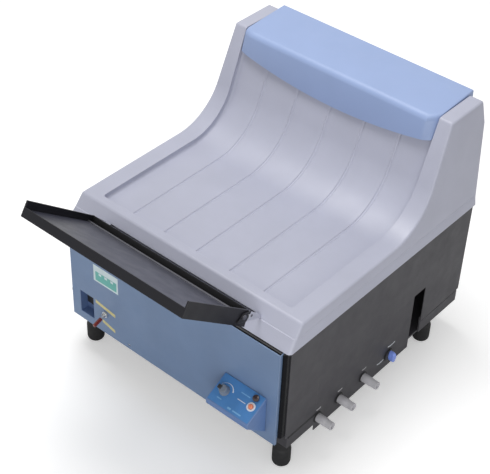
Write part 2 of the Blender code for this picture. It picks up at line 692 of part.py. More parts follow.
def make_inlet_valve(mats):
    """The water inlet's black body and its blue quarter-turn knob."""
    face = CASE_HALF_WIDTH - SERVICE_INSET + GAP
    inner = CASE_HALF_WIDTH - SERVICE_INSET - SHEET - 0.010
    base = Vector((0.0, VALVE_Y, VALVE_Z))
    neck = VALVE_BODY_RADIUS * 0.6
    stem = VALVE_BODY_RADIUS * 0.35
    body_end = face + 0.006
    bm = bmesh.new()
    add_turned(bm, [(0.0, inner), (neck, inner), (neck, face), (VALVE_BODY_RADIUS, face),
                    (VALVE_BODY_RADIUS, body_end - 0.001), (VALVE_BODY_RADIUS * 0.9, body_end),
                    (stem, body_end), (stem, body_end + 0.008), (0.0, body_end + 0.008)],
               base, (1, 0, 0), COARSE)
    finish_object("inlet_valve_body", bm, mats["black_plastic"], (face, VALVE_Y, VALVE_Z), radians(35))
    knob_start = body_end + GAP
    knob_end = knob_start + VALVE_KNOB_LENGTH
    bore = stem + RUNNING_GAP
    bore_end = body_end + 0.008 + RUNNING_GAP
    bm = bmesh.new()
    add_turned(bm,
               [(bore, knob_start), (VALVE_KNOB_RADIUS * 0.92, knob_start),
                (VALVE_KNOB_RADIUS, knob_start + 0.002),
                (VALVE_KNOB_RADIUS * 0.94, knob_end - 0.0025), (VALVE_KNOB_RADIUS * 0.72, knob_end),
                (0.0, knob_end), (0.0, bore_end), (bore, bore_end), (bore, knob_start)],
               base, (1, 0, 0), MEDIUM)
    knob = finish_object("inlet_valve_knob", bm, mats["valve_blue"], (knob_start, VALVE_Y, VALVE_Z),
                         radians(35))
    flutes = bmesh.new()
    flute_count = 6
    for index in range(flute_count):
        angle = 2 * pi * index / flute_count
        centre = base + VALVE_KNOB_RADIUS * 1.12 * Vector((0.0, cos(angle), sin(angle)))
        add_turned(flutes, [(0.0, knob_start + 0.004), (0.0022, knob_start + 0.004),
                            (0.0022, knob_end + 0.002), (0.0, knob_end + 0.002)], centre, (1, 0, 0), COARSE)
    combine(knob, finish_object("inlet_valve_flutes", flutes, None), "DIFFERENCE")


# Control pod

def pod_point(x, down, out):
    """Return a point on the pod: x across, down along its sloping face, out along the face's normal."""
    return Vector((x, 0.0, POD_TOP)) + POD_DOWN * down + POD_NORMAL * out


def make_control_pod(mats):
    """The wedge-shaped console on the front panel, with the wells for its controls."""
    face = -GAP
    outline = [(face, POD_TOP), (-POD_REACH, POD_TOP - POD_DROP), (-POD_REACH, POD_TOP - POD_DROP - POD_LIP),
               (-POD_REACH + 0.004, POD_TOP - POD_DROP - POD_LIP - 0.003), (face, POD_FOOT)]
    bm = bmesh.new()
    add_prism(bm, outline, POD_LEFT, POD_RIGHT, along_x)
    pod = finish_object("control_pod", bm, mats["panel_blue"])
    round_edges(pod, 0.0008, 1)
    wells = (("knob", KNOB_X, KNOB_DOWN, KNOB_RADIUS * 0.35 + RUNNING_GAP),
             ("start", BUTTON_X, START_DOWN, START_RADIUS + RUNNING_GAP),
             ("stop", BUTTON_X, STOP_DOWN, STOP_RADIUS * 0.7 + RUNNING_GAP))
    for name, x, down, radius in wells:
        well = turned_tool(f"control_pod_{name}_well", radius, pod_point(x, down, -BUTTON_WELL), POD_NORMAL,
                           BUTTON_WELL + 0.004, MEDIUM)
        combine(pod, well, "DIFFERENCE")


def make_knob(mats):
    """The grey rotary knob with its skirt, pointer cap and spindle."""
    base = pod_point(KNOB_X, KNOB_DOWN, 0.0)
    spindle = KNOB_RADIUS * 0.35
    top = GAP + KNOB_HEIGHT
    bm = bmesh.new()
    add_turned(bm,
               [(0.0, -BUTTON_WELL * 0.8), (spindle, -BUTTON_WELL * 0.8), (spindle, GAP), (KNOB_RADIUS, GAP),
                (KNOB_RADIUS, GAP + 0.0018), (KNOB_RADIUS * 0.86, GAP + 0.0028),
                (KNOB_RADIUS * 0.80, top - 0.001), (KNOB_RADIUS * 0.68, top), (0.0, top)],
               base, POD_NORMAL, MEDIUM)
    finish_object("timer_knob", bm, mats["knob_grey"], base, radians(35))


def make_buttons(mats):
    """The orange start button and the black stop button."""
    base = pod_point(BUTTON_X, START_DOWN, 0.0)
    bm = bmesh.new()
    bottom = -BUTTON_WELL + 0.0035
    add_turned(bm, [(0.0, bottom), (START_RADIUS, bottom), (START_RADIUS, BUTTON_PROUD - 0.0008),
                    (START_RADIUS * 0.8, BUTTON_PROUD), (0.0, BUTTON_PROUD + 0.0003)], base, POD_NORMAL,
               MEDIUM)
    finish_object("start_button", bm, mats["button_orange"], base, radians(35))
    base = pod_point(BUTTON_X, STOP_DOWN, 0.0)
    stem = STOP_RADIUS * 0.7
    bm = bmesh.new()
    add_turned(bm, [(0.0, bottom), (stem, bottom), (stem, 0.0033), (STOP_RADIUS, 0.0033),
                    (STOP_RADIUS, 0.0050), (STOP_RADIUS * 0.8, 0.0058), (0.0, 0.0060)], base, POD_NORMAL,
               MEDIUM)
    finish_object("stop_button", bm, mats["black_plastic"], base, radians(35))


# Top cover

def sweep_profile(depth):
    """Return (Y, Z) points of the rim's upper line, lowered by depth square to itself.

    They run from the level stretch, up the swept arc, to the top of the straight rise.
    """
    radius = SWEEP_RADIUS + depth
    centre_z = RIM_TOP + SWEEP_RADIUS
    steps = 9
    points = arc(SWEEP_START, centre_z, radius, -pi / 2, -pi / 2 + SWEEP_ANGLE, steps)
    end_y, end_z = points[-1]
    rise = CHEEK_TOP - end_z
    points.append((end_y + rise / tan(SWEEP_ANGLE), CHEEK_TOP))
    return points


def cover_half_width(z):
    """Return the drafted half width of the cover at a height."""
    return RIM_HALF_WIDTH - DRAFT * (z - RIM_BOTTOM)


def drafted_prism(name, outline, inset):
    """Sweep a (Y, Z) outline across the machine, with the cover's draft on both sides."""
    bm = bmesh.new()
    verts = add_prism(bm, outline, -1.0, 1.0, along_x)
    for vert in verts:
        side = 1.0 if vert.co.x > 0 else -1.0
        vert.co.x = side * (cover_half_width(vert.co.z) - inset)
    return finish_object(name, bm, None)


def plain_prism(name, outline, x_low, x_high):
    """Sweep a (Y, Z) outline between two X planes."""
    bm = bmesh.new()
    add_prism(bm, outline, x_low, x_high, along_x)
    return finish_object(name, bm, None)


def cover_outline(inset, depth):
    """Return the cover's closed (Y, Z) outline, drawn in by inset at front and rear and by depth above."""
    bottom = RIM_BOTTOM if inset == 0.0 else RIM_BOTTOM - COVER_WALL
    top = CHEEK_TOP - depth
    upper = [(y, z) for y, z in sweep_profile(depth)[:-1]]
    last_y, last_z = upper[-1]
    upper.append((last_y + (top - last_z) / tan(SWEEP_ANGLE), top))
    rear = COVER_REAR - inset
    return ([(COVER_FRONT + inset, bottom), (FASCIA_TOP_Y + inset, RIM_TOP - depth)] + upper +
            [(rear - CHAMFER_DEPTH, top), (rear, CHEEK_TOP - CHAMFER_DROP), (rear, bottom)])


def make_top_cover(mats):
    """The moulded top cover: laned receiving basin swept up into the dryer tower."""
    cover = drafted_prism("top_cover", cover_outline(0.0, 0.0), 0.0)
    cover.data.materials.append(mats["cover"])
    round_edges(cover, 0.0035, 2, radians(30.0))

    band = bmesh.new()
    half = RIM_HALF_WIDTH + RIM_PROUD
    corner = 0.006
    front = COVER_FRONT - RIM_PROUD
    rear = COVER_REAR + RIM_PROUD
    corners = ((half - corner, rear - corner, 0.0), (-half + corner, rear - corner, pi / 2),
               (-half + corner, front + corner, pi), (half - corner, front + corner, 1.5 * pi))
    outline = [point for x, y, start in corners for point in arc(x, y, corner, start, start + pi / 2, 4)]
    add_prism(band, outline, RIM_BOTTOM, RIM_BOTTOM + RIM_BAND, along_z)
    for vert in band.verts:
        if vert.co.z > RIM_BOTTOM + RIM_BAND / 2:
            lean = RIM_PROUD * 0.7 + DRAFT * RIM_BAND
            vert.co.x -= lean if vert.co.x > 0 else -lean
            if vert.co.y < (front + rear) / 2:
                vert.co.y += RIM_BAND * (FASCIA_TOP_Y - COVER_FRONT) / (RIM_TOP - RIM_BOTTOM)
            else:
                vert.co.y -= RIM_PROUD * 0.7
    combine(cover, finish_object("top_cover_band", band, None), "UNION")

    deep = BASIN_DEPTH
    floor = sweep_profile(deep)
    clear = CHEEK_TOP + 0.02
    last_y, last_z = floor[-1]
    basin = ([(BASIN_FRONT, clear), (BASIN_FRONT, RIM_TOP - deep)] + floor[:-1] +
             [(last_y + (clear - last_z) / tan(SWEEP_ANGLE), clear)])
    basin_tool = plain_prism("top_cover_basin", basin, -BASIN_HALF_WIDTH, BASIN_HALF_WIDTH)
    round_edges(basin_tool, BASIN_FILLET, 3)
    combine(cover, basin_tool, "DIFFERENCE")
    combine(cover, lane_grooves(), "DIFFERENCE")

    hollow = drafted_hollow()
    combine(cover, hollow, "DIFFERENCE")

    opening_half = BASIN_HALF_WIDTH - GAP
    opening = box_tool("top_cover_tower_opening", (-opening_half, HOOD_FRONT_Y - 0.03, BASIN_LIP),
                       (opening_half, TOWER_OPENING_REAR, clear))
    combine(cover, opening, "DIFFERENCE")
    rear_gap = box_tool("top_cover_rear_opening",
                        (-opening_half, TOWER_OPENING_REAR - 0.002, TOWER_REAR_TOP),
                        (opening_half, COVER_REAR + 0.01, clear))
    combine(cover, rear_gap, "DIFFERENCE")

    slot = box_tool("top_cover_feed_slot", (-FEED_SLOT_HALF_WIDTH, COVER_FRONT - 0.01, FEED_SLOT_LOW),
                    (FEED_SLOT_HALF_WIDTH, FASCIA_TOP_Y + 0.006, FEED_SLOT_HIGH))
    combine(cover, slot, "DIFFERENCE")
    reach = BASIN_HALF_WIDTH + 2 * COVER_WALL
    rod_hole = turned_tool("top_cover_rod_hole", HOOD_PIN_RADIUS + GAP, (-reach, HOOD_PIVOT_Y, HOOD_PIVOT_Z),
                           (1, 0, 0), 2 * reach)
    combine(cover, rod_hole, "DIFFERENCE")
    cover.data.shade_smooth()
    cover.data.set_sharp_from_angle(angle=radians(30))


def drafted_hollow():
    """Return the cutter for the inside of the cover, one wall behind the outer surfaces."""
    middle = cover_outline(COVER_WALL, BASIN_DEPTH + COVER_WALL)
    tool = plain_prism("top_cover_hollow", middle, -BASIN_HALF_WIDTH - 0.001, BASIN_HALF_WIDTH + 0.001)
    cheeks = bmesh.new()
    side_outline = cover_outline(COVER_WALL, COVER_WALL)
    for side in (-1, 1):
        verts = add_prism(cheeks, side_outline, 0.0, 1.0, along_x)
        for vert in verts:
            outer = cover_half_width(vert.co.z) - COVER_WALL
            vert.co.x = side * (outer if vert.co.x > 0.5 else BASIN_HALF_WIDTH + COVER_WALL)
    combine(tool, finish_object("top_cover_cheek_hollows", cheeks, None), "UNION")
    return tool


def lane_grooves():
    """Return the cutter for the shallow grooves that part the basin's lanes."""
    bm = bmesh.new()
    path = sweep_profile(BASIN_DEPTH - GROOVE_RADIUS + GROOVE_DEPTH)
    start = BASIN_FRONT + BASIN_FILLET + 0.004
    line = [(start, path[0][1])] + path
    sides = 6
    for lane in range(1, LANE_COUNT):
        x = (lane - LANE_COUNT / 2) * LANE_PITCH
        rings = []
        for index, (y, z) in enumerate(line):
            before = line[max(index - 1, 0)]
            after = line[min(index + 1, len(line) - 1)]
            direction = Vector((0.0, after[0] - before[0], after[1] - before[1])).normalized()
            normal = Vector((0.0, -direction.z, direction.y))
            centre = Vector((x, y, z))
            ring = []
            for step in range(sides):
                angle = 2 * pi * (step + 0.5) / sides
                ring.append(centre + GROOVE_RADIUS * (cos(angle) * Vector((1, 0, 0)) + sin(angle) * normal))
            rings.append(ring)
        add_shell_loops(bm, rings)
    return finish_object("top_cover_grooves", bm, None)


def make_hood(mats):
    """The pale blue hood over the exit slot, with a bowed lower edge, and its two pivot pins."""
    fold = HOOD_FOLD_RADIUS
    slope = atan2(HOOD_TOP - HOOD_EDGE_CENTRE, HOOD_FOLD_Y - HOOD_FRONT_Y)
    fold_centre = (HOOD_FOLD_Y + fold, HOOD_TOP - fold)
    curve = arc(*fold_centre, fold, pi - (pi / 2 - slope), pi / 2, 3)
    facet_start = HOOD_HALF_WIDTH - HOOD_FACET_WIDTH
    stations = 10
    inside = [facet_start * (2 * station / stations - 1) for station in range(stations + 1)]
    bm = bmesh.new()
    rows = []
    for x in [-HOOD_HALF_WIDTH] + inside + [HOOD_HALF_WIDTH]:
        facet = (HOOD_FACET_LOW, HOOD_FACET_HIGH) if abs(x) > facet_start + GAP else (0.0, 0.0)
        edge_z = HOOD_EDGE_CENTRE + HOOD_BOW * (x / HOOD_HALF_WIDTH) ** 2
        edge_y = HOOD_FRONT_Y + (edge_z - HOOD_EDGE_CENTRE) / tan(slope)
        front = [(edge_y + facet[0], edge_z)] + [(y + facet[1], z) for y, z in curve]
        rear = [(HOOD_REAR - 0.003, HOOD_TOP), (HOOD_REAR, HOOD_TOP - 0.003),
                (HOOD_REAR, HOOD_TOP - HOOD_SKIRT)]
        rows.append([bm.verts.new((x, y, z)) for y, z in front + rear])
    for left, right in zip(rows, rows[1:]):
        for index in range(len(left) - 1):
            bm.faces.new((left[index], right[index], right[index + 1], left[index + 1]))
    brow = HOOD_FRONT_Y + HOOD_FACET_HIGH + 0.002
    for row in (rows[0], rows[-1]):
        inner = bm.verts.new((row[0].co.x, brow, BASIN_LIP + 2.5 * HOOD_WALL))
        bm.faces.new(row + [inner])
    bmesh.ops.recalc_face_normals(bm, faces=bm.faces[:])
    ends = [edge for edge in bm.edges if abs(edge.verts[0].co.x) > HOOD_HALF_WIDTH - 1e-6
            and abs(edge.verts[1].co.x) > HOOD_HALF_WIDTH - 1e-6 and len(edge.link_faces) == 2]
    bmesh.ops.bevel(bm, geom=ends, offset=HOOD_CORNER, segments=2, affect="EDGES", profile=0.5)
    hood = finish_object("hood", bm, mats["hood"], (0.0, HOOD_PIVOT_Y, HOOD_PIVOT_Z), radians(40))
    shell = hood.modifiers.new("wall", "SOLIDIFY")
    shell.thickness = HOOD_WALL
    shell.offset = -1.0
    shell.use_even_offset = True
    bore = turned_tool("hood_rod_bore", HOOD_PIN_RADIUS + RUNNING_GAP,
                       (-BASIN_HALF_WIDTH, HOOD_PIVOT_Y, HOOD_PIVOT_Z), (1, 0, 0), 2 * BASIN_HALF_WIDTH)
    combine(hood, bore, "DIFFERENCE")
    reach = BASIN_HALF_WIDTH + COVER_WALL + GAP
    bm = bmesh.new()
    add_turned(bm, [(0.0, -reach), (HOOD_PIN_RADIUS, -reach), (HOOD_PIN_RADIUS, reach), (0.0, reach)],
               (0.0, HOOD_PIVOT_Y, HOOD_PIVOT_Z), (1, 0, 0), COARSE)
    finish_object("hood_rod", bm, mats["steel"], (0.0, HOOD_PIVOT_Y, HOOD_PIVOT_Z), radians(35))


# Feed tray

def tray_point(x, along, up):
    """Return a point of the tilted tray: along its floor from the back edge, up from its underside."""
    back = Vector((0.0, TRAY_BACK_Y, TRAY_BACK_Z))
    return back + TRAY_OUT * along + TRAY_UP * up + Vector((x, 0.0, 0.0))


def make_feed_tray(mats):
    """The black feed tray, an open pan that slopes down to the feed slot, on two pivots."""
    half = TRAY_HALF_WIDTH
    wall = TRAY_WALL
    draft = TRAY_DRAFT

    def loop(inset, front_inset, back_height, front_height):
        x = half - inset
        return [tray_point(-x, front_inset, back_height), tray_point(x, front_inset, back_height),
                tray_point(x, TRAY_LENGTH - front_inset, front_height),
                tray_point(-x, TRAY_LENGTH - front_inset, front_height)]

    bm = bmesh.new()
    add_shell_loops(bm, [
        loop(draft, draft, 0.0, 0.0),
        loop(0.0, 0.0, TRAY_DEPTH, TRAY_DEPTH),
        loop(wall, wall, TRAY_DEPTH, TRAY_DEPTH),
        loop(wall + draft, wall + draft, wall, wall),
    ])
    pivot = tray_point(0.0, TRAY_PIVOT_ALONG, TRAY_PIVOT_UP)
    tray = finish_object("feed_tray", bm, mats["tray"], pivot)
    ledge = bmesh.new()
    ledge_top = TRAY_DEPTH * 0.7
    for vert in add_box(ledge, (-half + wall / 2, wall / 2, wall / 2),
                        (half - wall / 2, TRAY_LEDGE, ledge_top)):
        vert.co = tray_point(vert.co.x, vert.co.y, vert.co.z)
    combine(tray, finish_object("feed_tray_ledge", ledge, None), "UNION")
    bore = turned_tool("feed_tray_bore", TRAY_PIN_RADIUS + RUNNING_GAP,
                       pivot - Vector((half + wall, 0.0, 0.0)),
                       (1, 0, 0), 2 * (half + wall))
    combine(tray, bore, "DIFFERENCE")


def fascia_point(z, out):
    """Return the (Y, Z) of a point of the cover's sloping front at a height, moved out square to it."""
    run = FASCIA_TOP_Y - COVER_FRONT
    rise = RIM_TOP - RIM_BOTTOM
    length = sqrt(run ** 2 + rise ** 2)
    return COVER_FRONT + (z - RIM_BOTTOM) * run / rise - out * rise / length, z + out * run / length


def make_tray_mounting(mats):
    """The two brackets on the cover's front, each with a toe under the tray, and the tray's pivot rod."""
    pivot = tray_point(0.0, TRAY_PIVOT_ALONG, TRAY_PIVOT_UP)
    inner = TRAY_HALF_WIDTH + GAP
    low = fascia_point(BRACKET_LOW, GAP)
    high = fascia_point(BRACKET_HIGH, GAP)
    lean = atan2((low[1] + high[1]) / 2 - pivot.z, (low[0] + high[0]) / 2 - pivot.y)
    nose = arc(pivot.y, pivot.z, BRACKET_NOSE, lean + pi / 2, lean + radians(190.0), 5)
    toe_top = -GAP
    toe_bottom = toe_top - BRACKET_SHEET
    toe = [tray_point(0.0, BRACKET_TOE_END, toe_top), tray_point(0.0, BRACKET_TOE_END, toe_bottom),
           tray_point(0.0, BRACKET_TOE_START, toe_bottom)]
    outline = [low, high] + nose + [(point.y, point.z) for point in toe]
    foot_outline = [low, high, fascia_point(BRACKET_HIGH, GAP + BRACKET_SHEET),
                    fascia_point(BRACKET_LOW, GAP + BRACKET_SHEET)]
    for side, sign in (("left", -1), ("right", 1)):
        name = f"tray_bracket_{side}"
        bm = bmesh.new()
        add_prism(bm, outline, sign * inner, sign * (inner + BRACKET_SHEET), along_x)
        bracket = finish_object(name, bm, mats["steel"])
        foot = bmesh.new()
        add_prism(foot, foot_outline, sign * (inner - BRACKET_FOOT), sign * (inner + BRACKET_SHEET / 2),
                  along_x)
        combine(bracket, finish_object(f"{name}_foot", foot, None), "UNION")
        tab = bmesh.new()
        for vert in add_box(tab, (inner - BRACKET_FOOT, BRACKET_TOE_START, toe_bottom),
                            (inner + BRACKET_SHEET / 2, BRACKET_TOE_END, toe_top)):
            vert.co = tray_point(sign * vert.co.x, vert.co.y, vert.co.z)
        combine(bracket, finish_object(f"{name}_toe", tab, None), "UNION")
        hole = turned_tool(f"{name}_hole", TRAY_PIN_RADIUS + GAP,
                           pivot + Vector((sign * (inner - 0.004), 0.0, 0.0)), (sign, 0, 0), 0.010)
        combine(bracket, hole, "DIFFERENCE")
    shoulder = inner + BRACKET_SHEET + GAP
    head = TRAY_PIN_RADIUS * 1.7
    tip = shoulder + 0.0018
    bm = bmesh.new()
    add_turned(bm, [(0.0, -tip), (head * 0.9, -tip), (head, -shoulder), (TRAY_PIN_RADIUS, -shoulder),
                    (TRAY_PIN_RADIUS, shoulder), (head, shoulder), (head * 0.9, tip), (0.0, tip)],
               pivot, (1, 0, 0), COARSE)
    finish_object("tray_rod", bm, mats["steel"], pivot, radians(35))


# Tanks, racks and rollers

def rack_y(index):
    """Return the Y of a rack's middle."""
    return RACK_FIRST_Y + index * RACK_PITCH


def nip_half():
    """Return half the distance between the two rollers of a pair."""
    return MODULE * ROLLER_TEETH / 2


def idler_place(index):
    """Return the (Y, Z) of the idler that follows a rack's second roller."""
    reach = MODULE * (ROLLER_TEETH + IDLER_TEETH) / 2
    across = RACK_PITCH / 2 - nip_half()
    return rack_y(index) + RACK_PITCH / 2, ROLLER_Z - sqrt(reach ** 2 - across ** 2)


def pinion_place():
    """Return the (Y, Z) of the drive motor's pinion."""
    reach = MODULE * (ROLLER_TEETH + IDLER_TEETH) / 2
    y, z = idler_place(RACK_COUNT - 1)
    return y + reach * cos(PINION_ANGLE), z + reach * sin(PINION_ANGLE)


def make_tank_unit(mats):
    """The three-bath tank in one moulding, with an axle stub for each idler gear."""
    half = TANK_HALF_WIDTH
    wall = TANK_WALL
    front = rack_y(0) - RACK_PITCH / 2 - wall / 2
    rear = rack_y(RACK_COUNT - 1) + RACK_PITCH / 2 + wall
    base = PAN_BOTTOM + PAN_FLOOR + GAP
    bm = bmesh.new()
    add_box(bm, (-half, front, base), (half, rear, TANK_TOP))
    tank = finish_object("tank_unit", bm, mats["tank"])
    pockets = bmesh.new()
    for index in range(RACK_COUNT):
        middle = rack_y(index)
        reach = RACK_PITCH / 2 - wall / 2
        bend = reach * 0.8
        low = base + TANK_FLOOR
        outline = ([(middle + reach, TANK_TOP + wall)] + [(middle - reach, TANK_TOP + wall)] +
                   arc(middle - reach + bend, low + bend, bend, pi, 1.5 * pi, 4) +
                   arc(middle + reach - bend, low + bend, bend, 1.5 * pi, 2 * pi, 4))
        add_prism(pockets, outline, -half + wall, half - wall, along_x)
    combine(tank, finish_object("tank_pockets", pockets, None), "DIFFERENCE")
    for index in range(RACK_COUNT):
        y, z = idler_place(index)
        start = half - wall / 2
        end = GEAR_INNER_X + GEAR_WIDTH + 0.001
        stub = turned_tool(f"tank_axle_{index + 1}", IDLER_AXLE_RADIUS, (-start, y, z), (-1, 0, 0),
                           end - start, MEDIUM)
        combine(tank, stub, "UNION")


def make_racks(mats):
    """One film rack per bath: two side plates, three tie bars and feet on the tank's rim."""
    names = ("developer", "fixer", "wash")
    outer = RACK_HALF_WIDTH
    half = RACK_DEPTH / 2
    chamfer = 0.020
    for index in range(RACK_COUNT):
        middle = rack_y(index)
        outline = [(middle - half, RACK_TOP), (middle - half, RACK_BOTTOM + chamfer),
                   (middle - half + chamfer, RACK_BOTTOM), (middle + half - chamfer, RACK_BOTTOM),
                   (middle + half, RACK_BOTTOM + chamfer), (middle + half, RACK_TOP)]
        bm = bmesh.new()
        for sign in (-1, 1):
            add_prism(bm, outline, sign * outer, sign * (outer - RACK_PLATE), along_x)
        rack = finish_object(f"rack_{names[index]}", bm, mats["rack"])
        bars = bmesh.new()
        tie_inset = 2 * TIE_RADIUS
        tie_places = ((middle - half + tie_inset, RACK_SIDE_TIE_Z),
                      (middle + half - tie_inset, RACK_SIDE_TIE_Z),
                      (middle, RACK_MIDDLE_TIE_Z))
        for y, z in tie_places:
            add_turned(bars, [(0.0, 0.0), (TIE_RADIUS, 0.0), (TIE_RADIUS, 2 * outer - RACK_PLATE),
                              (0.0, 2 * outer - RACK_PLATE)],
                       (-outer + RACK_PLATE / 2, y, z), (1, 0, 0), ROUGH)
        combine(rack, finish_object(f"rack_{names[index]}_ties", bars, None), "UNION")
        ears = bmesh.new()
        for sign in (-1, 1):
            for end in (-1, 1):
                y = middle + end * (half - 0.006)
                low = Vector((sign * (outer - RACK_PLATE / 2), y - 0.005, TANK_TOP + GAP))
                high = Vector((sign * (TANK_HALF_WIDTH - 0.0005), y + 0.005, TANK_TOP + GAP + 0.003))
                add_box(ears, low, high)
        combine(rack, finish_object(f"rack_{names[index]}_ears", ears, None), "UNION")
        holes = bmesh.new()
        bearings = ((middle - nip_half(), ROLLER_Z), (middle + nip_half(), ROLLER_Z), (middle, TURN_ROLLER_Z))
        radius = ROLLER_SHAFT + RUNNING_GAP
        for y, z in bearings:
            for sign in (-1, 1):
                add_turned(holes,
                           [(0.0, 0.0), (radius, 0.0), (radius, 3 * RACK_PLATE), (0.0, 3 * RACK_PLATE)],
                           (sign * (outer - 2 * RACK_PLATE), y, z), (sign, 0, 0), ROUGH)
        combine(rack, finish_object(f"rack_{names[index]}_bearings", holes, None), "DIFFERENCE")


def gear_outline(teeth, phase):
    """Return the (Y, Z) outline of a spur gear with straight-flanked teeth about the origin."""
    pitch_radius = MODULE * teeth / 2
    tip_radius = pitch_radius + 0.72 * MODULE
    root_radius = pitch_radius - 1.0 * MODULE
    half_tooth = MODULE * pi / 4 * 0.82
    flank = 0.50
    tip_half = (half_tooth - flank * (tip_radius - pitch_radius)) / tip_radius
    root_half = (half_tooth + flank * (pitch_radius - root_radius)) / root_radius
    points = []
    for tooth in range(teeth):
        middle = phase + 2 * pi * tooth / teeth
        for radius, offset in ((root_radius, -root_half), (tip_radius, -tip_half),
                               (tip_radius, tip_half), (root_radius, root_half)):
            points.append((radius * cos(middle + offset), radius * sin(middle + offset)))
    return points


def meshing_phase(teeth, phase, place, other_teeth, other_place):
    """Return the phase of a gear at other_place that meshes with the gear at place."""
    angle = atan2(other_place[1] - place[1], other_place[0] - place[0])
    pitch = 2 * pi / teeth
    offset = ((angle - phase) / pitch) % 1.0
    other_pitch = 2 * pi / other_teeth
    return angle + pi + (offset + 0.5) * other_pitch


def add_gear(bm, teeth, phase, place, x_inner, width):
    """Add a gear's disc on the machine's left side, outward from x_inner."""
    outline = [(place[0] + y, place[1] + z) for y, z in gear_outline(teeth, phase)]
    add_prism(bm, outline, -x_inner, -x_inner - width, along_x)


def make_geared_roller(name, mats, place, phase, half_length, with_pulley=False):
    """A rubber-covered roller with its steel shaft ends and its drive gear."""
    y, z = place
    shaft_left = -(GEAR_INNER_X + GEAR_WIDTH / 2)
    shaft_right = RACK_HALF_WIDTH + 0.002
    profile = [(0.0, shaft_left), (ROLLER_SHAFT, shaft_left), (ROLLER_SHAFT, -half_length),
               (ROLLER_RADIUS, -half_length),
               (ROLLER_RADIUS, half_length), (ROLLER_SHAFT, half_length), (ROLLER_SHAFT, shaft_right),
               (0.0, shaft_right)]
    bm = bmesh.new()
    add_turned(bm, profile, (0.0, y, z), (1, 0, 0), COARSE)
    roller = finish_object(name, bm, mats["roller"], (0.0, y, z), radians(40))
    gear = bmesh.new()
    add_gear(gear, ROLLER_TEETH, phase, place, GEAR_INNER_X, GEAR_WIDTH)
    combine(roller, finish_object(f"{name}_gear", gear, None), "UNION")
    if with_pulley:
        combine(roller, pulley_tool(f"{name}_pulley", place), "UNION")
    return roller


def pulley_tool(name, place):
    """Return the flanged belt pulley at a shaft's left end."""
    y, z = place
    start = GEAR_INNER_X + GEAR_WIDTH / 2
    half = BELT_WIDTH / 2 + GAP
    flange = BELT_PULLEY_RADIUS + 0.001
    profile = [(0.0, start), (ROLLER_SHAFT, start), (ROLLER_SHAFT, BELT_X - half - 0.001),
               (flange, BELT_X - half - 0.001),
               (flange, BELT_X - half), (BELT_PULLEY_RADIUS, BELT_X - half),
               (BELT_PULLEY_RADIUS, BELT_X + half),
               (flange, BELT_X + half), (flange, BELT_X + half + 0.001), (0.0, BELT_X + half + 0.001)]
    bm = bmesh.new()
    add_turned(bm, profile, (0.0, y, z), (-1, 0, 0), COARSE)
    return finish_object(name, bm, None)


def make_gear_train(mats):
    """Rollers, idlers and pinion, each phased so that its teeth mesh with the gear before it."""
    half_length = RACK_HALF_WIDTH - RACK_PLATE - 0.001
    names = ("developer", "fixer", "wash")
    phase = 0.0
    place = (rack_y(0) - nip_half(), ROLLER_Z)
    teeth = ROLLER_TEETH
    for index in range(RACK_COUNT):
        for order, side in enumerate(("front", "rear")):
            spot = (rack_y(index) + (2 * order - 1) * nip_half(), ROLLER_Z)
            if (index, order) != (0, 0):
                phase = meshing_phase(teeth, phase, place, ROLLER_TEETH, spot)
            make_geared_roller(f"roller_{names[index]}_{side}", mats, spot, phase, half_length)
            place = spot
            teeth = ROLLER_TEETH
        spot = idler_place(index)
        phase = meshing_phase(teeth, phase, place, IDLER_TEETH, spot)
        make_idler(index, mats, spot, phase)
        place = spot
        teeth = IDLER_TEETH
    spot = pinion_place()
    phase = meshing_phase(teeth, phase, place, ROLLER_TEETH, spot)
    make_pinion(mats, spot, phase)


def make_idler(index, mats, place, phase):
    """One idler gear on its axle stub."""
    bm = bmesh.new()
    add_gear(bm, IDLER_TEETH, phase, place, GEAR_INNER_X, GEAR_WIDTH)
    idler = finish_object(f"idler_gear_{index + 1}", bm, mats["gear"], (-GEAR_INNER_X, *place))
    bore = turned_tool(f"idler_bore_{index + 1}", IDLER_AXLE_RADIUS + RUNNING_GAP,
                       (-GEAR_INNER_X + 0.002, *place), (-1, 0, 0), GEAR_WIDTH + 0.004, MEDIUM)
    combine(idler, bore, "DIFFERENCE")


def make_turn_rollers(mats):
    """The free turning roller at the bottom of each rack."""
    names = ("developer", "fixer", "wash")
    half_length = RACK_HALF_WIDTH - RACK_PLATE - 0.001
    end = RACK_HALF_WIDTH - 0.0005
    for index in range(RACK_COUNT):
        base = (0.0, rack_y(index), TURN_ROLLER_Z)
        bm = bmesh.new()
        add_turned(bm,
                   [(0.0, -end), (ROLLER_SHAFT, -end), (ROLLER_SHAFT, -half_length),
                    (TURN_ROLLER_RADIUS, -half_length),
                    (TURN_ROLLER_RADIUS, half_length), (ROLLER_SHAFT, half_length), (ROLLER_SHAFT, end),
                    (0.0, end)],
                   base, (1, 0, 0), COARSE)
        finish_object(f"turn_roller_{names[index]}", bm, mats["roller"], base, radians(40))


# Dryer

def exit_places():
    """Return the (Y, Z) of the lower and the upper exit roller."""
    return (EXIT_Y, EXIT_LOW_Z), (EXIT_Y, EXIT_LOW_Z + 2 * nip_half())


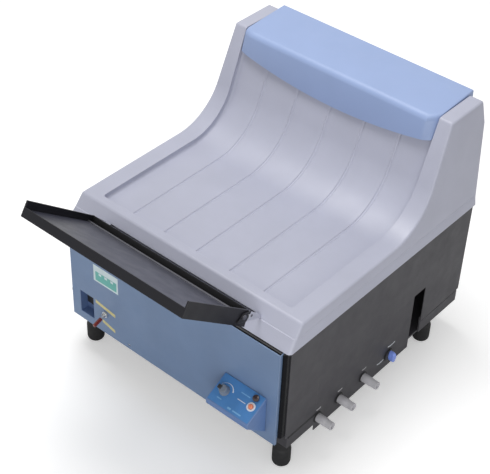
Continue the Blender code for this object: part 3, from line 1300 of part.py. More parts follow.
def make_dryer(mats):
    """The dryer frame that rises into the tower, its exit rollers and its heater."""
    outer = DRYER_HALF_WIDTH
    plate = RACK_PLATE
    pan_floor = PAN_BOTTOM + PAN_FLOOR + GAP
    outline = [(DRYER_FRONT, DRYER_TOP), (DRYER_FRONT, pan_floor), (DRYER_REAR, pan_floor),
               (DRYER_REAR, DRYER_TOP)]
    bm = bmesh.new()
    for sign in (-1, 1):
        add_prism(bm, outline, sign * outer, sign * (outer - plate), along_x)
    frame = finish_object("dryer_frame", bm, mats["rack"])
    bars = bmesh.new()
    inset = 0.008
    for y, z in ((DRYER_REAR - inset, DRYER_TOP - 2 * inset), (DRYER_REAR - inset, DRYER_TIE_Z),
                 (DRYER_FRONT + inset, DRYER_TIE_Z)):
        add_turned(bars,
                   [(0.0, 0.0), (TIE_RADIUS, 0.0), (TIE_RADIUS, 2 * outer - plate), (0.0, 2 * outer - plate)],
                   (-outer + plate / 2, y, z), (1, 0, 0), ROUGH)
    combine(frame, finish_object("dryer_ties", bars, None), "UNION")
    holes = bmesh.new()
    radius = ROLLER_SHAFT + RUNNING_GAP
    for y, z in exit_places():
        for sign in (-1, 1):
            add_turned(holes, [(0.0, 0.0), (radius, 0.0), (radius, 3 * plate), (0.0, 3 * plate)],
                       (sign * (outer - 2 * plate), y, z), (sign, 0, 0), ROUGH)
    combine(frame, finish_object("dryer_bearings", holes, None), "DIFFERENCE")
    half_length = outer - plate - 0.001
    lower, upper = exit_places()
    make_geared_roller("exit_roller_lower", mats, lower, 0.0, half_length, True)
    phase = meshing_phase(ROLLER_TEETH, 0.0, lower, ROLLER_TEETH, upper)
    make_geared_roller("exit_roller_upper", mats, upper, phase, half_length)
    make_heater(mats)


def make_heater(mats):
    """The finned air heater between the dryer's side plates."""
    half = DRYER_HALF_WIDTH - RACK_PLATE - GAP
    y_mid = (DRYER_FRONT + DRYER_REAR) / 2
    z = HEATER_Z
    core = 0.3 * HEATER_RADIUS
    fin_radius = HEATER_RADIUS
    fin_width = 0.0015
    pitch = 2 * (half - HEATER_RADIUS) / (HEATER_FINS - 1)
    profile = [(0.0, -half), (core, -half)]
    for index in range(HEATER_FINS):
        x = -half + HEATER_RADIUS + index * pitch
        profile += [(core, x - fin_width / 2), (fin_radius, x - fin_width / 2),
                    (fin_radius, x + fin_width / 2),
                    (core, x + fin_width / 2)]
    profile += [(core, half), (0.0, half)]
    bm = bmesh.new()
    add_turned(bm, profile, (0.0, y_mid, z), (1, 0, 0), ROUGH)
    finish_object("air_heater", bm, mats["steel"], (0.0, y_mid, z))


def make_pinion(mats, place, phase):
    """The motor's pinion with the belt pulley on the same shaft."""
    y, z = place
    start = GEAR_INNER_X - 0.004
    bm = bmesh.new()
    add_turned(bm,
               [(0.0, start), (ROLLER_SHAFT, start), (ROLLER_SHAFT, GEAR_INNER_X + GEAR_WIDTH / 2 + 0.001),
                (0.0, GEAR_INNER_X + GEAR_WIDTH / 2 + 0.001)], (0.0, y, z), (-1, 0, 0), COARSE)
    pinion = finish_object("motor_pinion", bm, mats["gear"], (-GEAR_INNER_X, y, z))
    gear = bmesh.new()
    add_gear(gear, ROLLER_TEETH, phase, place, GEAR_INNER_X, GEAR_WIDTH)
    combine(pinion, finish_object("motor_pinion_gear", gear, None), "UNION")
    combine(pinion, pulley_tool("motor_pinion_pulley", place), "UNION")


def make_drive(mats):
    """The gear motor on its stand, and the belt that takes its drive up to the exit rollers."""
    y, z = pinion_place()
    floor = PAN_BOTTOM + PAN_FLOOR + GAP
    face = GEAR_INNER_X - 0.004 - GAP
    bm = bmesh.new()
    nose = 0.004
    add_turned(bm,
               [(0.0, face), (MOTOR_RADIUS * 0.4, face), (MOTOR_RADIUS * 0.4, face - nose),
                (MOTOR_RADIUS, face - nose),
                (MOTOR_RADIUS, face - MOTOR_LENGTH + 0.002), (MOTOR_RADIUS * 0.85, face - MOTOR_LENGTH),
                (0.0, face - MOTOR_LENGTH)], (0.0, y, z), (-1, 0, 0), MEDIUM)
    motor = finish_object("drive_motor", bm, mats["steel"], (0.0, y, z), radians(40))
    stand = bmesh.new()
    add_box(stand, (-face + nose + 0.004, y - MOTOR_RADIUS * 0.8, floor),
            (-face + MOTOR_LENGTH * 0.75, y + MOTOR_RADIUS * 0.8, z))
    combine(motor, finish_object("drive_motor_stand", stand, None), "UNION")
    lower = Vector((y, z))
    upper = Vector(exit_places()[0])
    line = upper - lower
    lean = atan2(line.y, line.x)
    bm = bmesh.new()
    inner = BELT_PULLEY_RADIUS + GAP
    steps = 10
    rings = []
    for radius in (inner, inner + BELT_THICKNESS):
        points = arc(upper.x, upper.y, radius, lean - pi / 2, lean + pi / 2, steps)
        points += arc(lower.x, lower.y, radius, lean + pi / 2, lean + 3 * pi / 2, steps)
        rings.append(points)
    near = -(BELT_X - BELT_WIDTH / 2)
    far = -(BELT_X + BELT_WIDTH / 2)
    loops = [[bm.verts.new((x, u, v)) for u, v in ring] for x, ring in
             ((near, rings[0]), (near, rings[1]), (far, rings[1]), (far, rings[0]))]
    count = len(loops[0])
    for first, second in zip(loops, loops[1:] + loops[:1]):
        for index in range(count):
            after = (index + 1) % count
            bm.faces.new((first[index], first[after], second[after], second[index]))
    finish_object("drive_belt", bm, mats["rubber"])


def make_fan(mats):
    """The dryer's intake fan behind the rear grille: square frame and bladed rotor."""
    rear = CASE_REAR - SHEET - GAP
    front = rear - FAN_DEPTH
    bm = bmesh.new()
    add_box(bm, (FAN_X - FAN_FRAME, front, FAN_Z - FAN_FRAME), (FAN_X + FAN_FRAME, rear, FAN_Z + FAN_FRAME))
    frame = finish_object("fan_frame", bm, mats["black_plastic"])
    tunnel = bmesh.new()
    add_turned(tunnel,
               [(0.0, -0.002), (FAN_RADIUS, -0.002), (FAN_RADIUS, FAN_DEPTH + 0.002),
                (0.0, FAN_DEPTH + 0.002)],
               (FAN_X, front, FAN_Z), (0, 1, 0), MEDIUM)
    combine(frame, finish_object("fan_tunnel", tunnel, None), "DIFFERENCE")
    hub = 0.012
    spider = bmesh.new()
    arm_depth = 0.003
    add_turned(spider,
               [(0.0, 0.0), (hub, 0.0), (hub, arm_depth), (0.003, arm_depth), (0.003, FAN_DEPTH * 0.6),
                (0.0, FAN_DEPTH * 0.6)], (FAN_X, front, FAN_Z), (0, 1, 0), COARSE)
    combine(frame, finish_object("fan_hub_plate", spider, None), "UNION")
    arms = bmesh.new()
    add_box(arms, (FAN_X - FAN_RADIUS - 0.001, front, FAN_Z - 0.002),
            (FAN_X + FAN_RADIUS + 0.001, front + arm_depth, FAN_Z + 0.002))
    add_box(arms, (FAN_X - 0.002, front + 0.0002, FAN_Z - FAN_RADIUS - 0.001),
            (FAN_X + 0.002, front + arm_depth - 0.0002, FAN_Z + FAN_RADIUS + 0.001))
    combine(frame, finish_object("fan_arms", arms, None), "UNION")
    rotor_front = front + arm_depth + 0.0005
    rotor_rear = rear - 0.002
    bm = bmesh.new()
    add_turned(bm,
               [(0.0034, 0.0), (hub, 0.0), (hub, rotor_rear - rotor_front - 0.001),
                (hub * 0.9, rotor_rear - rotor_front),
                (0.0, rotor_rear - rotor_front), (0.0, FAN_DEPTH * 0.6), (0.0034, FAN_DEPTH * 0.6),
                (0.0034, 0.0)],
               (FAN_X, rotor_front, FAN_Z), (0, 1, 0), COARSE)
    rotor = finish_object("fan_rotor", bm, mats["black_plastic"], (FAN_X, rotor_front, FAN_Z), radians(40))
    blades = bmesh.new()
    tip = FAN_RADIUS - 0.0015
    depth = rotor_rear - rotor_front - 0.003
    for index in range(FAN_BLADES):
        turn = Matrix.Rotation(2 * pi * index / FAN_BLADES, 4, "Y")
        pitch = Matrix.Rotation(radians(38.0), 4, "X")
        verts = add_box(blades, (hub - 0.002, -0.0007, -depth * 0.55), (tip, 0.0007, depth * 0.55))
        place = Matrix.Translation((FAN_X, rotor_front + depth / 2 + 0.001, FAN_Z))
        for vert in verts:
            vert.co = place @ turn @ pitch @ Matrix.Rotation(pi / 2, 4, "X") @ vert.co
    combine(rotor, finish_object("fan_blades", blades, None), "UNION")


def make_pump_and_board(mats):
    """The circulation pump and the control board on the pan's floor behind the tanks."""
    floor = PAN_BOTTOM + PAN_FLOOR + GAP
    tank_rear = rack_y(RACK_COUNT - 1) + RACK_PITCH / 2 + TANK_WALL
    x = PUMP_X
    y = (tank_rear + DRYER_FRONT) / 2
    radius = PUMP_RADIUS
    head = PUMP_HEIGHT * 0.35
    shoulder = PUMP_HEIGHT * 0.06
    bm = bmesh.new()
    add_turned(bm,
               [(0.0, floor), (radius, floor), (radius, floor + head),
                (radius * 0.8, floor + head + shoulder),
                (radius * 0.8, floor + PUMP_HEIGHT - shoulder), (radius * 0.6, floor + PUMP_HEIGHT),
                (0.0, floor + PUMP_HEIGHT)], (x, y, 0.0), (0, 0, 1), COARSE)
    pump = finish_object("circulation_pump", bm, mats["black_plastic"], (x, y, floor), radians(40))
    port = turned_tool("pump_port", radius * 0.36, (x, y, floor + head / 2), (0, -1, 0), y - tank_rear - GAP,
                       COARSE)
    combine(pump, port, "UNION")
    half_sheet = BOARD_SHEET / 2
    bm = bmesh.new()
    add_box(bm, (BOARD_X, y - half_sheet, floor),
            (BOARD_X + BOARD_WIDTH, y + half_sheet, floor + BOARD_HEIGHT))
    board = finish_object("control_board", bm, mats["board"])
    chips = bmesh.new()
    for across, up, width, height, depth in ((0.11, 0.27, 0.21, 0.19, 0.004), (0.44, 0.40, 0.17, 0.29, 0.012),
                                             (0.74, 0.24, 0.15, 0.19, 0.009),
                                             (0.13, 0.67, 0.13, 0.13, 0.006)):
        low_x = BOARD_X + across * BOARD_WIDTH
        low_z = floor + up * BOARD_HEIGHT
        add_box(chips, (low_x, y - half_sheet / 2, low_z),
                (low_x + width * BOARD_WIDTH, y + half_sheet + depth, low_z + height * BOARD_HEIGHT))
    combine(board, finish_object("control_board_parts", chips, None), "UNION")


def place_origin():
    """Shift the machine so that the middle of its footprint is the origin."""
    bpy.context.view_layer.update()
    pieces = [obj for obj in bpy.data.objects if obj.type == "MESH" and not obj.hide_render]
    graph = bpy.context.evaluated_depsgraph_get()
    low = Vector((1e9, 1e9))
    high = Vector((-1e9, -1e9))
    for obj in pieces:
        evaluated = obj.evaluated_get(graph)
        for corner in evaluated.bound_box:
            point = obj.matrix_world @ Vector(corner)
            low = Vector((min(low.x, point.x), min(low.y, point.y)))
            high = Vector((max(high.x, point.x), max(high.y, point.y)))
    root = bpy.data.objects.new("processor", None)
    bpy.context.scene.collection.objects.link(root)
    for obj in list(bpy.data.objects):
        if obj is not root and obj.parent is None:
            obj.parent = root
    root.location = (-(low.x + high.x) / 2, -(low.y + high.y) / 2, 0.0)
    bpy.context.view_layer.update()
    return root


def main():
    """Build the whole machine."""
    clear_scene()
    mats = make_materials()
    make_base_pan(mats)
    make_feet(mats)
    make_side_panels(mats)
    make_side_knob(mats)
    make_corner_posts(mats)
    make_rear_panel(mats)
    make_mains_inlet(mats)
    make_front_panel(mats)
    make_toggle(mats)
    make_service_panel(mats)
    make_drain_spigots(mats)
    make_inlet_valve(mats)
    make_control_pod(mats)
    make_knob(mats)
    make_buttons(mats)
    make_top_cover(mats)
    make_hood(mats)
    make_feed_tray(mats)
    make_tray_mounting(mats)
    make_tank_unit(mats)
    make_racks(mats)
    make_gear_train(mats)
    make_turn_rollers(mats)
    make_dryer(mats)
    make_drive(mats)
    make_fan(mats)
    make_pump_and_board(mats)
    place_origin()


main()
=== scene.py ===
"""Benchtop dental x-ray film processor, dressed for its studio view.

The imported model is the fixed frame. Every place below is given in the machine's own axes, in metres:
X across from the centreline, Y back from the front panel's face, Z up from the ground. A finished piece is
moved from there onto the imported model.
"""
import json
import logging
from collections.abc import Sequence
from dataclasses import dataclass
from enum import Enum
from math import atan2, cos, hypot, pi, radians, sin, tan
from typing import ClassVar

import bmesh
import bpy
from mathutils import Matrix, Vector

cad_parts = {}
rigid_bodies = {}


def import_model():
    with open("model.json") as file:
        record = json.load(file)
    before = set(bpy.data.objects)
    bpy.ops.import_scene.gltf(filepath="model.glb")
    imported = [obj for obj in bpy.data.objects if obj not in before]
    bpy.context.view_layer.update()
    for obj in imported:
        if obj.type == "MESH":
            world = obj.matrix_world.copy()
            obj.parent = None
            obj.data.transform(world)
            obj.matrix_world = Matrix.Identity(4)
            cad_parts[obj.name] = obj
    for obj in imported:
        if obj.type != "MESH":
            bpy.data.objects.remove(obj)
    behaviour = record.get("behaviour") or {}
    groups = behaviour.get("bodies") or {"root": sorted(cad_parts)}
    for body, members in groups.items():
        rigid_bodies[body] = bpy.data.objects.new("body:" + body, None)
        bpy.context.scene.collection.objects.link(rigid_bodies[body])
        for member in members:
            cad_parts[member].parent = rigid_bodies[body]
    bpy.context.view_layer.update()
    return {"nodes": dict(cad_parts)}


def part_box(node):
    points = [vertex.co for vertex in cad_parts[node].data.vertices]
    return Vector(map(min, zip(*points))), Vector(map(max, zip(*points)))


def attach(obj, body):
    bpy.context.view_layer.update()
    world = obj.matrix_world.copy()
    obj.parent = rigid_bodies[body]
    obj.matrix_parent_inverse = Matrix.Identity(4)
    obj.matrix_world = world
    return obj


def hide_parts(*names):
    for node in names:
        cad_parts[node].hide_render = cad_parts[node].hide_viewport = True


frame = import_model()
log = logging.getLogger("film_processor")

PANEL_LOW, PANEL_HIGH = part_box("front_panel")
MACHINE = Vector(((PANEL_LOW.x + PANEL_HIGH.x) / 2, PANEL_LOW.y, 0.0))
CLEAR = 0.0003


class Body(Enum):
    """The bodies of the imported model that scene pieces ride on."""

    CASE = "case"
    COVER = "cover"
    HOOD = "hood"
    TRAY = "feed_tray"
    TIMER = "timer_knob"
    START = "start_button"
    STOP = "stop_button"
    TOGGLE = "toggle_arm"
    VALVE = "valve_knob"
    SIDE_KNOB = "side_knob"


class Grain(Enum):
    """How a surface feels: the height of its texture, its size in metres and how much it stretches."""

    MOULD = (0.30, 0.0007, (1.0, 1.0, 1.0))
    SATIN = (0.14, 0.0012, (1.0, 1.0, 1.0))
    POWDER = (0.38, 0.0010, (1.0, 1.0, 1.0))
    RUBBER = (0.35, 0.0006, (1.0, 1.0, 1.0))
    BRUSHED = (0.20, 0.0004, (0.04, 1.0, 1.0))
    GLOSS = (0.05, 0.0030, (1.0, 1.0, 1.0))

    @property
    def strength(self) -> float:
        """Return how strongly the bump shows."""
        return self.value[0]

    @property
    def size(self) -> float:
        """Return the size of one grain in metres."""
        return self.value[1]

    @property
    def stretch(self) -> tuple[float, float, float]:
        """Return the scale of the pattern along X, Y and Z."""
        return self.value[2]


class Plane(Enum):
    """The plane that an outline is drawn in. It is extruded square to that plane."""

    SIDE = 0
    FRONT = 1
    TOP = 2

    def point(self, u: float, v: float, w: float = 0.0) -> Vector:
        """Return the machine point of a place in the plane.

        Args:
            u: Distance along the plane's first axis.
            v: Distance along its second axis.
            w: Distance square to the plane.

        Returns:
            The point in machine axes.
        """
        if self is Plane.SIDE:
            return Vector((w, u, v))
        if self is Plane.FRONT:
            return Vector((u, w, v))
        return Vector((u, v, w))

    @property
    def turn(self) -> Vector:
        """Return the axis about which the plane's first axis turns towards its second."""
        return (Vector((1, 0, 0)), Vector((0, -1, 0)), Vector((0, 0, 1)))[self.value]


class Cut(Enum):
    """What a tool does to the body that it is used on."""

    AWAY = "DIFFERENCE"
    ONTO = "UNION"


def screen_colour(red: int, green: int, blue: int) -> tuple[float, float, float]:
    """Return the linear colour of an 8-bit screen colour.

    Args:
        red: Red from 0 to 255.
        green: Green from 0 to 255.
        blue: Blue from 0 to 255.

    Returns:
        The three linear channels.
    """
    def linear(channel: int) -> float:
        """Return one channel as linear light."""
        level = channel / 255.0
        return level / 12.92 if level <= 0.04045 else ((level + 0.055) / 1.055) ** 2.4

    return linear(red), linear(green), linear(blue)


def map_range(tree: bpy.types.NodeTree, value: bpy.types.NodeSocket, source: tuple[float, float],
              target: tuple[float, float]) -> bpy.types.NodeSocket:
    """Carry a value over from one range to another.

    Args:
        tree: The node tree.
        value: The value's socket.
        source: The range that it comes in.
        target: The range that it goes out in.

    Returns:
        The result's socket.
    """
    node = tree.nodes.new("ShaderNodeMapRange")
    node.inputs["From Min"].default_value, node.inputs["From Max"].default_value = source
    node.inputs["To Min"].default_value, node.inputs["To Max"].default_value = target
    tree.links.new(value, node.inputs["Value"])
    return node.outputs["Result"]


class Recipe:
    """The node tree of one material, with its shader and its Object coordinates at hand."""

    def __init__(self, mat: bpy.types.Material) -> None:
        """Take a material's tree in hand."""
        mat.use_nodes = True
        self.tree = mat.node_tree
        self.shader = self.tree.nodes["Principled BSDF"]
        self.place = self.tree.nodes.new("ShaderNodeTexCoord").outputs["Object"]

    def link(self, source: bpy.types.NodeSocket, target: bpy.types.NodeSocket) -> None:
        """Link one socket to another."""
        self.tree.links.new(source, target)

    def noise(self, size: float, detail: float,
              stretch: tuple[float, float, float] = (1.0, 1.0, 1.0)) -> bpy.types.NodeSocket:
        """Add a noise of a given size.

        Args:
            size: Size of one feature in metres.
            detail: Octaves of detail.
            stretch: Scale of the pattern along each axis.

        Returns:
            The noise's factor socket.
        """
        mapping = self.tree.nodes.new("ShaderNodeMapping")
        mapping.inputs["Scale"].default_value = stretch
        noise = self.tree.nodes.new("ShaderNodeTexNoise")
        noise.inputs["Scale"].default_value = 1.0 / size
        noise.inputs["Detail"].default_value = detail
        self.link(self.place, mapping.inputs["Vector"])
        self.link(mapping.outputs["Vector"], noise.inputs["Vector"])
        return noise.outputs["Fac"]

    def joined(self, kind: str, operation: str, first: bpy.types.NodeSocket,
               second: bpy.types.NodeSocket) -> bpy.types.NodeSocket:
        """Join two values with a math node.

        Args:
            kind: The node's type.
            operation: What the node does.
            first: The first value.
            second: The second value.

        Returns:
            The result's socket.
        """
        node = self.tree.nodes.new(kind)
        node.operation = operation
        self.link(first, node.inputs[0])
        self.link(second, node.inputs[1])
        return node.outputs["Value"]


@dataclass(frozen=True)
class Finish:
    """One procedural surface finish, patterned on Object coordinates.

    Attributes:
        name: The material's name.
        colour: Linear base colour.
        roughness: Middle of the roughness.
        grain: The surface's texture.
        metallic: 1 for bare metal.
        drift: How far the colour drifts over the surface, as a share.
        drift_size: The size of that drift in metres.
        coat: Weight of a clear coat.
        specular: Level of the surface's plain reflection.
        wear_and_sheen: How far edges turn paler, partly as rubbed wear and partly as a painted highlight
            along crests.
        wear_and_sheen_width: How far that pale edge reaches in from an edge, in metres.
        coat_roughness: Roughness of the clear coat.
        drift_band: The noise levels between which the colour drifts.
        pale_edge_white: How far a fully pale edge turns white.
        edge_turn: The agreement of true and eased normal where the pale edge starts, and where it is full.
        patch_size: Size of one patch of wear and sheen in metres.
        patch_band: The noise levels between which a patch rises.
        patch_least: What is left of the wear and sheen between patches.
        handling: How far the roughness varies either way.
        smear_share: Size of that variation as a share of the colour's drift.
        smoothest: The least roughness.
        relief: Height of the grain as a share of its size.
    """

    name: str
    colour: tuple[float, float, float]
    roughness: float
    grain: Grain
    metallic: float = 0.0
    drift: float = 0.05
    drift_size: float = 0.060
    coat: float = 0.0
    specular: float = 0.5
    wear_and_sheen: float = 0.0
    wear_and_sheen_width: float = 0.0012
    coat_roughness: ClassVar[float] = 0.12
    drift_band: ClassVar[tuple[float, float]] = (0.30, 0.70)
    pale_edge_white: ClassVar[float] = 0.45
    edge_turn: ClassVar[tuple[float, float]] = (0.995, 0.86)
    patch_size: ClassVar[float] = 0.012
    patch_band: ClassVar[tuple[float, float]] = (0.38, 0.62)
    patch_least: ClassVar[float] = 0.35
    handling: ClassVar[float] = 0.06
    smear_share: ClassVar[float] = 0.4
    smoothest: ClassVar[float] = 0.04
    relief: ClassVar[float] = 0.2

    def material(self) -> bpy.types.Material:
        """Return the finish's material, made on first use.

        Returns:
            The Blender material.
        """
        known = bpy.data.materials.get(f"finish_{self.name}")
        if known:
            return known
        mat = bpy.data.materials.new(f"finish_{self.name}")
        recipe = Recipe(mat)
        sockets = recipe.shader.inputs
        sockets["Metallic"].default_value = self.metallic
        sockets["Coat Weight"].default_value = self.coat
        sockets["Coat Roughness"].default_value = self.coat_roughness
        sockets["Specular IOR Level"].default_value = self.specular
        recipe.link(self._drifting_colour(recipe), sockets["Base Color"])
        recipe.link(self._handled_roughness(recipe), sockets["Roughness"])
        recipe.link(self._grained_normal(recipe), sockets["Normal"])
        mat.diffuse_color = (*self.colour, 1.0)
        return mat

    def _drifting_colour(self, recipe: Recipe) -> bpy.types.NodeSocket:
        """Return a base colour that drifts a little over the surface and pales along edges, partly as rubbed
        wear and partly as a painted highlight.

        Args:
            recipe: The material's nodes.

        Returns:
            The colour's socket.
        """
        ramp = recipe.tree.nodes.new("ShaderNodeValToRGB")
        low, high = ramp.color_ramp.elements
        low.position, high.position = self.drift_band
        low.color = (*(channel * (1.0 - self.drift) for channel in self.colour), 1.0)
        high.color = (*(min(channel * (1.0 + self.drift), 1.0) for channel in self.colour), 1.0)
        recipe.link(recipe.noise(self.drift_size, 4.0), ramp.inputs["Fac"])
        if self.wear_and_sheen == 0.0:
            return ramp.outputs["Color"]
        blend = recipe.tree.nodes.new("ShaderNodeMix")
        blend.data_type = "RGBA"
        pale_edge = (channel + (1.0 - channel) * self.pale_edge_white for channel in self.colour)
        blend.inputs["B"].default_value = (*pale_edge, 1.0)
        recipe.link(self._wear_and_sheen_mask(recipe), blend.inputs["Factor"])
        recipe.link(ramp.outputs["Color"], blend.inputs["A"])
        return blend.outputs["Result"]

    def _wear_and_sheen_mask(self, recipe: Recipe) -> bpy.types.NodeSocket:
        """Return a factor that rises, in patches, where the surface turns over an edge: partly rubbed wear,
        partly a painted highlight along crests.

        Args:
            recipe: The material's nodes.

        Returns:
            The factor's socket.
        """
        plain = recipe.tree.nodes.new("ShaderNodeNewGeometry").outputs["True Normal"]
        eased = recipe.tree.nodes.new("ShaderNodeBevel")
        eased.samples = 4
        eased.inputs["Radius"].default_value = self.wear_and_sheen_width
        agree = recipe.joined("ShaderNodeVectorMath", "DOT_PRODUCT", plain, eased.outputs["Normal"])
        edge = map_range(recipe.tree, agree, self.edge_turn, (0.0, self.wear_and_sheen))
        patches = map_range(recipe.tree, recipe.noise(self.patch_size, 3.0), self.patch_band,
                            (self.patch_least, 1.0))
        return recipe.joined("ShaderNodeMath", "MULTIPLY", edge, patches)

    def _handled_roughness(self, recipe: Recipe) -> bpy.types.NodeSocket:
        """Return a roughness that varies, as on a surface that has been handled and wiped.

        Args:
            recipe: The material's nodes.

        Returns:
            The roughness's socket.
        """
        level = recipe.noise(self.drift_size * self.smear_share, 5.0)
        least, most = max(self.roughness - self.handling,
                          self.smoothest), min(self.roughness + self.handling, 1.0)
        return map_range(recipe.tree, level, self.drift_band, (least, most))

    def _grained_normal(self, recipe: Recipe) -> bpy.types.NodeSocket:
        """Return the normal of the surface's fine relief.

        Args:
            recipe: The material's nodes.

        Returns:
            The normal's socket.
        """
        bump = recipe.tree.nodes.new("ShaderNodeBump")
        bump.inputs["Strength"].default_value = self.grain.strength
        bump.inputs["Distance"].default_value = self.grain.size * self.relief
        recipe.link(recipe.noise(self.grain.size, 2.0, self.grain.stretch), bump.inputs["Height"])
        return bump.outputs["Normal"]


# The paler edges of these finishes are partly rubbed wear and partly a painted highlight along crests, such
# as the cover's front rim and the pod's sloping edge.
COVER_GREY = Finish("cover", screen_colour(180, 182, 198), 0.40, Grain.MOULD, drift=0.03, wear_and_sheen=0.35)
HOOD_BLUE = Finish("hood", screen_colour(151, 171, 212), 0.46, Grain.SATIN, drift=0.02, specular=0.7,
                   wear_and_sheen=0.10)
PANEL_BLUE = Finish("panel_blue", screen_colour(111, 134, 168), 0.44, Grain.SATIN, drift=0.05, wear_and_sheen=0.30)
# Darker copy of the panel blue for the pressed pocket: painted shade in the recess.
POCKET_SHADE_BLUE = Finish("pocket_blue", screen_colour(88, 110, 150), 0.50, Grain.SATIN, drift=0.06)
POD_BLUE = Finish("pod_blue", screen_colour(96, 126, 176), 0.42, Grain.SATIN, drift=0.05, wear_and_sheen=0.25)
CASE_GREY = Finish("case_grey", screen_colour(56, 55, 60), 0.52, Grain.POWDER, drift=0.10, wear_and_sheen=0.18)
POST_BLACK = Finish("post_black", screen_colour(15, 16, 20), 0.30, Grain.SATIN, specular=0.08, wear_and_sheen=0.10)
BLACK_PLASTIC = Finish("black_plastic", screen_colour(28, 28, 31), 0.45, Grain.MOULD, wear_and_sheen=0.12)
# Black for the rubber collars, and for the strips and plates laid as painted shade in gaps, a cavity and a
# recess.
SHADE_AND_COLLAR_BLACK = Finish("collar_black", screen_colour(20, 20, 22), 0.60, Grain.RUBBER, drift=0.10,
                      drift_size=0.004)
RUBBER = Finish("rubber", screen_colour(18, 18, 20), 0.75, Grain.RUBBER, drift=0.12, drift_size=0.015,
                wear_and_sheen=0.10)
TRAY_BLACK = Finish("tray", screen_colour(30, 30, 35), 0.36, Grain.MOULD, drift=0.07, specular=0.2, wear_and_sheen=0.12)
# Paler copy of the tray's black for its floor: painted light where the floor faces up.
TRAY_FLOOR_LIT = Finish("tray_floor", screen_colour(58, 59, 70), 0.34, Grain.MOULD, drift=0.07)
BRACKET_PAINT = Finish("bracket_paint", screen_colour(180, 182, 197), 0.36, Grain.SATIN, drift=0.03)
BLACKED_STEEL = Finish("blacked_steel", screen_colour(92, 92, 99), 0.30, Grain.BRUSHED, metallic=0.7)
HOSE_GREY = Finish("hose_grey", screen_colour(192, 191, 196), 0.50, Grain.MOULD, drift=0.06, drift_size=0.012)
VALVE_BLUE = Finish("valve_blue", screen_colour(130, 156, 240), 0.32, Grain.SATIN, drift=0.10,
                    drift_size=0.006,
                    wear_and_sheen=0.4, wear_and_sheen_width=0.0008)
STEEL = Finish("steel", screen_colour(196, 197, 200), 0.28, Grain.BRUSHED, metallic=1.0)
ZINC = Finish("zinc", screen_colour(210, 212, 216), 0.35, Grain.SATIN, metallic=1.0)
SLEEVE_RED = Finish("sleeve_red", screen_colour(116, 30, 24), 0.30, Grain.GLOSS, coat=0.4)
BUTTON_ORANGE = Finish("button_orange", screen_colour(238, 136, 100), 0.28, Grain.GLOSS, coat=0.4)
BUTTON_DARK = Finish("button_dark", screen_colour(58, 42, 44), 0.28, Grain.GLOSS, coat=0.4)
KNOB_GREY = Finish("knob_grey", screen_colour(120, 130, 145), 0.36, Grain.SATIN, wear_and_sheen=0.2, wear_and_sheen_width=0.0006)
TANK_BLACK = Finish("tank", screen_colour(60, 60, 62), 0.42, Grain.MOULD, wear_and_sheen=0.10)
RACK_CREAM = Finish("rack", screen_colour(205, 203, 194), 0.46, Grain.MOULD, wear_and_sheen=0.10)
ROLLER_BROWN = Finish("roller", screen_colour(172, 148, 116), 0.58, Grain.RUBBER, drift=0.10)
GEAR_CREAM = Finish("gear", screen_colour(224, 222, 212), 0.42, Grain.SATIN)
BOARD_GREEN = Finish("board", screen_colour(38, 122, 78), 0.45, Grain.SATIN, drift=0.2, drift_size=0.006)
LABEL_BLUE = Finish("label_blue", screen_colour(78, 136, 198), 0.36, Grain.SATIN, drift=0.08, drift_size=0.02)
INK_WHITE = Finish("ink_white", screen_colour(226, 232, 240), 0.45, Grain.SATIN, drift=0.03, drift_size=0.01)
INK_PALE_BLUE = Finish("ink_pale_blue", screen_colour(128, 182, 226), 0.45, Grain.SATIN, drift=0.05,
                       drift_size=0.01)
INK_GREY = Finish("ink_grey", screen_colour(196, 196, 200), 0.50, Grain.SATIN, drift=0.10, drift_size=0.004)
LABEL_WHITE = Finish("label_white", screen_colour(206, 222, 226), 0.42, Grain.SATIN, drift=0.05,
                     drift_size=0.01)
LABEL_YELLOW = Finish("label_yellow", screen_colour(206, 196, 138), 0.45, Grain.SATIN, drift=0.12,
                      drift_size=0.005)
LABEL_GREEN = Finish("label_green", screen_colour(100, 178, 170), 0.45, Grain.SATIN, drift=0.06,
                     drift_size=0.01)

PACKED_NODES: tuple[tuple[Finish, tuple[str, ...]], ...] = (
    (BLACK_PLASTIC, ("base_pan", "mains_inlet", "inlet_valve_body", "fan_frame", "fan_rotor",
                     "circulation_pump", "side_knob")),
    (POST_BLACK, ("corner_post_left", "corner_post_right")),
    (CASE_GREY, ("side_panel_left", "side_panel_right", "rear_panel", "service_panel")),
    (PANEL_BLUE, ("front_panel",)),
    (POD_BLUE, ("control_pod",)),
    (RUBBER, ("foot_front_left", "foot_front_right", "foot_rear_left", "foot_rear_right", "drive_belt")),
    (BLACKED_STEEL, ("tray_bracket_left", "tray_bracket_right", "tray_rod")),
    (STEEL, ("hood_rod", "air_heater", "drive_motor")),
    (ZINC, ("toggle_bushing", "toggle_lever")),
    (SLEEVE_RED, ("toggle_sleeve",)),
    (HOSE_GREY, ("drain_spigot_1", "drain_spigot_2", "drain_spigot_3")),
    (VALVE_BLUE, ("inlet_valve_knob",)),
    (KNOB_GREY, ("timer_knob",)),
    (BUTTON_ORANGE, ("start_button",)),
    (BUTTON_DARK, ("stop_button",)),
    (COVER_GREY, ("top_cover",)),
    (HOOD_BLUE, ("hood",)),
    (TRAY_BLACK, ("feed_tray",)),
    (TANK_BLACK, ("tank_unit",)),
    (RACK_CREAM, ("rack_developer", "rack_fixer", "rack_wash", "dryer_frame")),
    (ROLLER_BROWN, ("roller_developer_front", "roller_developer_rear", "roller_fixer_front",
                    "roller_fixer_rear", "roller_wash_front", "roller_wash_rear",
                    "turn_roller_developer", "turn_roller_fixer", "turn_roller_wash",
                    "exit_roller_lower", "exit_roller_upper")),
    (GEAR_CREAM, ("idler_gear_1", "idler_gear_2", "idler_gear_3", "motor_pinion")),
    (BOARD_GREEN, ("control_board",)),
)


# Mesh building

